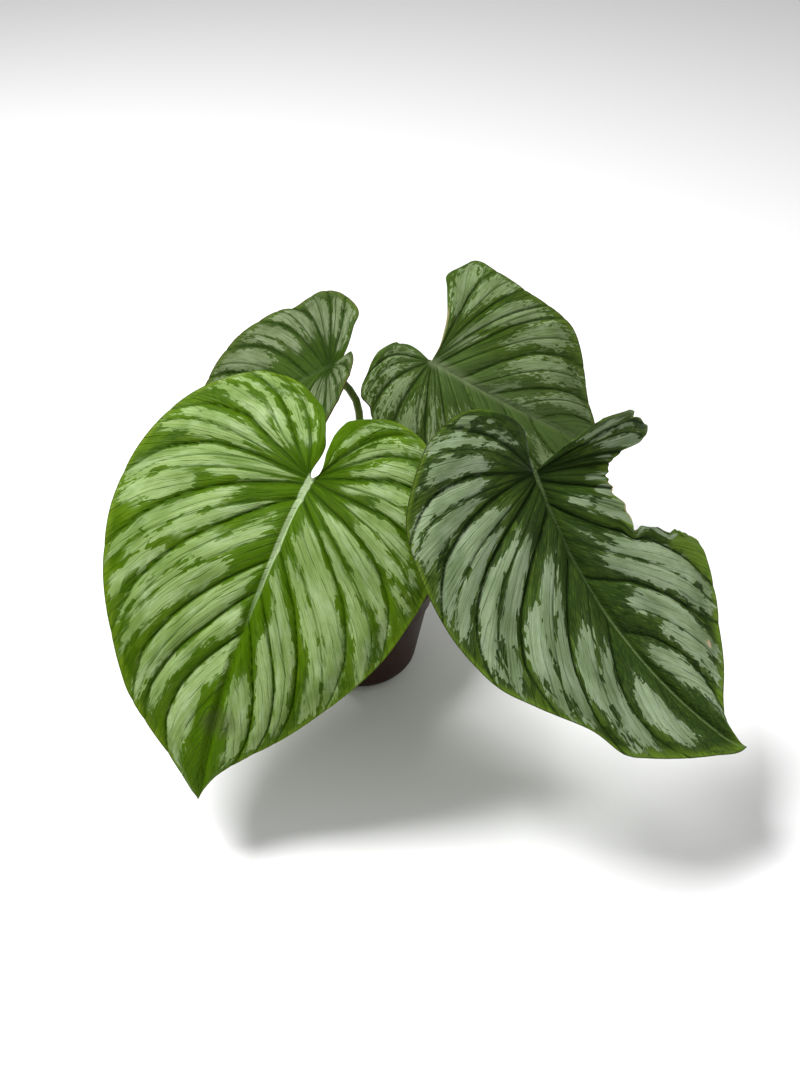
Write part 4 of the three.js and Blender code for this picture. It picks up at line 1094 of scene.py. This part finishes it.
def soil():
    """The mix: a rough bed with bark chips and a few pale grains lying in it."""
    low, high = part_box("soil")
    radius = (high[0] - low[0]) / 2
    bed = high[2] - BED_BELOW_TOP * MM
    levels = list(zip((low[2], low[2] + BED_SHOULDER * MM, bed), BED_WIDTHS))
    chance = np.random.default_rng(SEED)
    bm = bmesh.new()
    bm.verts.layers.float.new("pale")
    for (foot, narrow), (top, wide) in zip(levels, levels[1:]):
        turned = bmesh.ops.create_cone(bm, cap_ends=True, segments=BED_SIDES, radius1=radius * narrow,
                                       radius2=radius * wide, depth=top - foot)
        bmesh.ops.translate(bm, verts=turned["verts"], vec=(0, 0, (top + foot) / 2))
    for number in range(CHIPS):
        add_chip(bm, chance, radius, bed, number % PALE_EVERY == 0)
    mesh = bpy.data.meshes.new("potting_mix")
    bm.to_mesh(mesh)
    bm.free()
    piece = add_object("potting_mix", mesh, soil_material())
    carry(piece, "soil", "soil")


def rounded(node_name, piece_name, body_slot, material, sharp=38):
    """A solid's own faces, shaded as one smooth surface up to its sharp edges."""
    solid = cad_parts[node_name]
    mesh = bpy.data.meshes.new(piece_name)
    joined_smooth(mesh, solid.data, sharp)
    piece = add_object(piece_name, mesh, material)
    piece.matrix_world = solid.matrix_world.copy()
    carry(piece, body_slot, node_name)


def rounded_pieces():
    """The pot, the stem and the stalks."""
    rounded("pot", "nursery_pot", "pot", pot_material(), sharp=18)
    rounded("stem", "rhizome", "stem", stem_material())
    stalks = stalk_material()
    for letter in LEAVES:
        rounded(f"petiole_{letter}", f"stalk_{letter}", "petiole", stalks)


def floor_material():
    """Plain matt pale grey."""
    floor = Surface("floor", 0.9)
    floor.put("Base Color", (0.9, 0.9, 0.9, 1))
    return floor.material


def add_floor():
    """A pale floor just under the pot."""
    ring = [(-1, -1), (1, -1), (1, 1), (-1, 1)]
    mesh = bpy.data.meshes.new("floor")
    mesh.from_pydata([(x * FLOOR_REACH, y * FLOOR_REACH, 0) for x, y in ring], [], [(0, 1, 2, 3)])
    floor = add_object("floor", mesh, floor_material())
    floor.location.z = -FLOOR_DROP


def add_lights(scene):
    """Even light all round, and soft lamps that face the plant."""
    world = bpy.data.worlds.new("studio")
    world.use_nodes = True
    world.node_tree.nodes["Background"].inputs[0].default_value = (1, 1, 1, 1)
    world.node_tree.nodes["Background"].inputs[1].default_value = ROOM_LIGHT
    scene.world = world
    for name, place, size, power in LIGHTS:
        light = bpy.data.lights.new(name, "AREA")
        light.size = size
        light.energy = power
        lamp = bpy.data.objects.new(name, light)
        lamp.location = place
        aim = mathutils.Vector(TARGET) - lamp.location
        lamp.rotation_euler = aim.to_track_quat("-Z", "Y").to_euler()
        scene.collection.objects.link(lamp)


def add_camera(scene):
    """The camera, which looks down on the target as the photo does."""
    lens = bpy.data.cameras.new("camera")
    lens.sensor_fit = "VERTICAL"
    lens.sensor_height = SENSOR_HEIGHT
    lens.lens = FOCAL_LENGTH
    lens.clip_start = 0.01
    camera = bpy.data.objects.new("camera", lens)
    tilt = math.radians(VIEW_DOWN)
    camera.location = (TARGET[0], TARGET[1] - VIEW_DISTANCE * math.cos(tilt),
                       TARGET[2] + VIEW_DISTANCE * math.sin(tilt))
    camera.rotation_euler = (math.radians(90 - VIEW_DOWN), 0, 0)
    scene.collection.objects.link(camera)
    scene.camera = camera


def stage():
    """A pale floor, soft lights and the camera at the photo's viewing angle."""
    scene = bpy.context.scene
    add_floor()
    add_lights(scene)
    add_camera(scene)
    scene.view_settings.view_transform = "Standard"


for letter in LEAVES:
    blade(letter)
soil()
rounded_pieces()
stage()
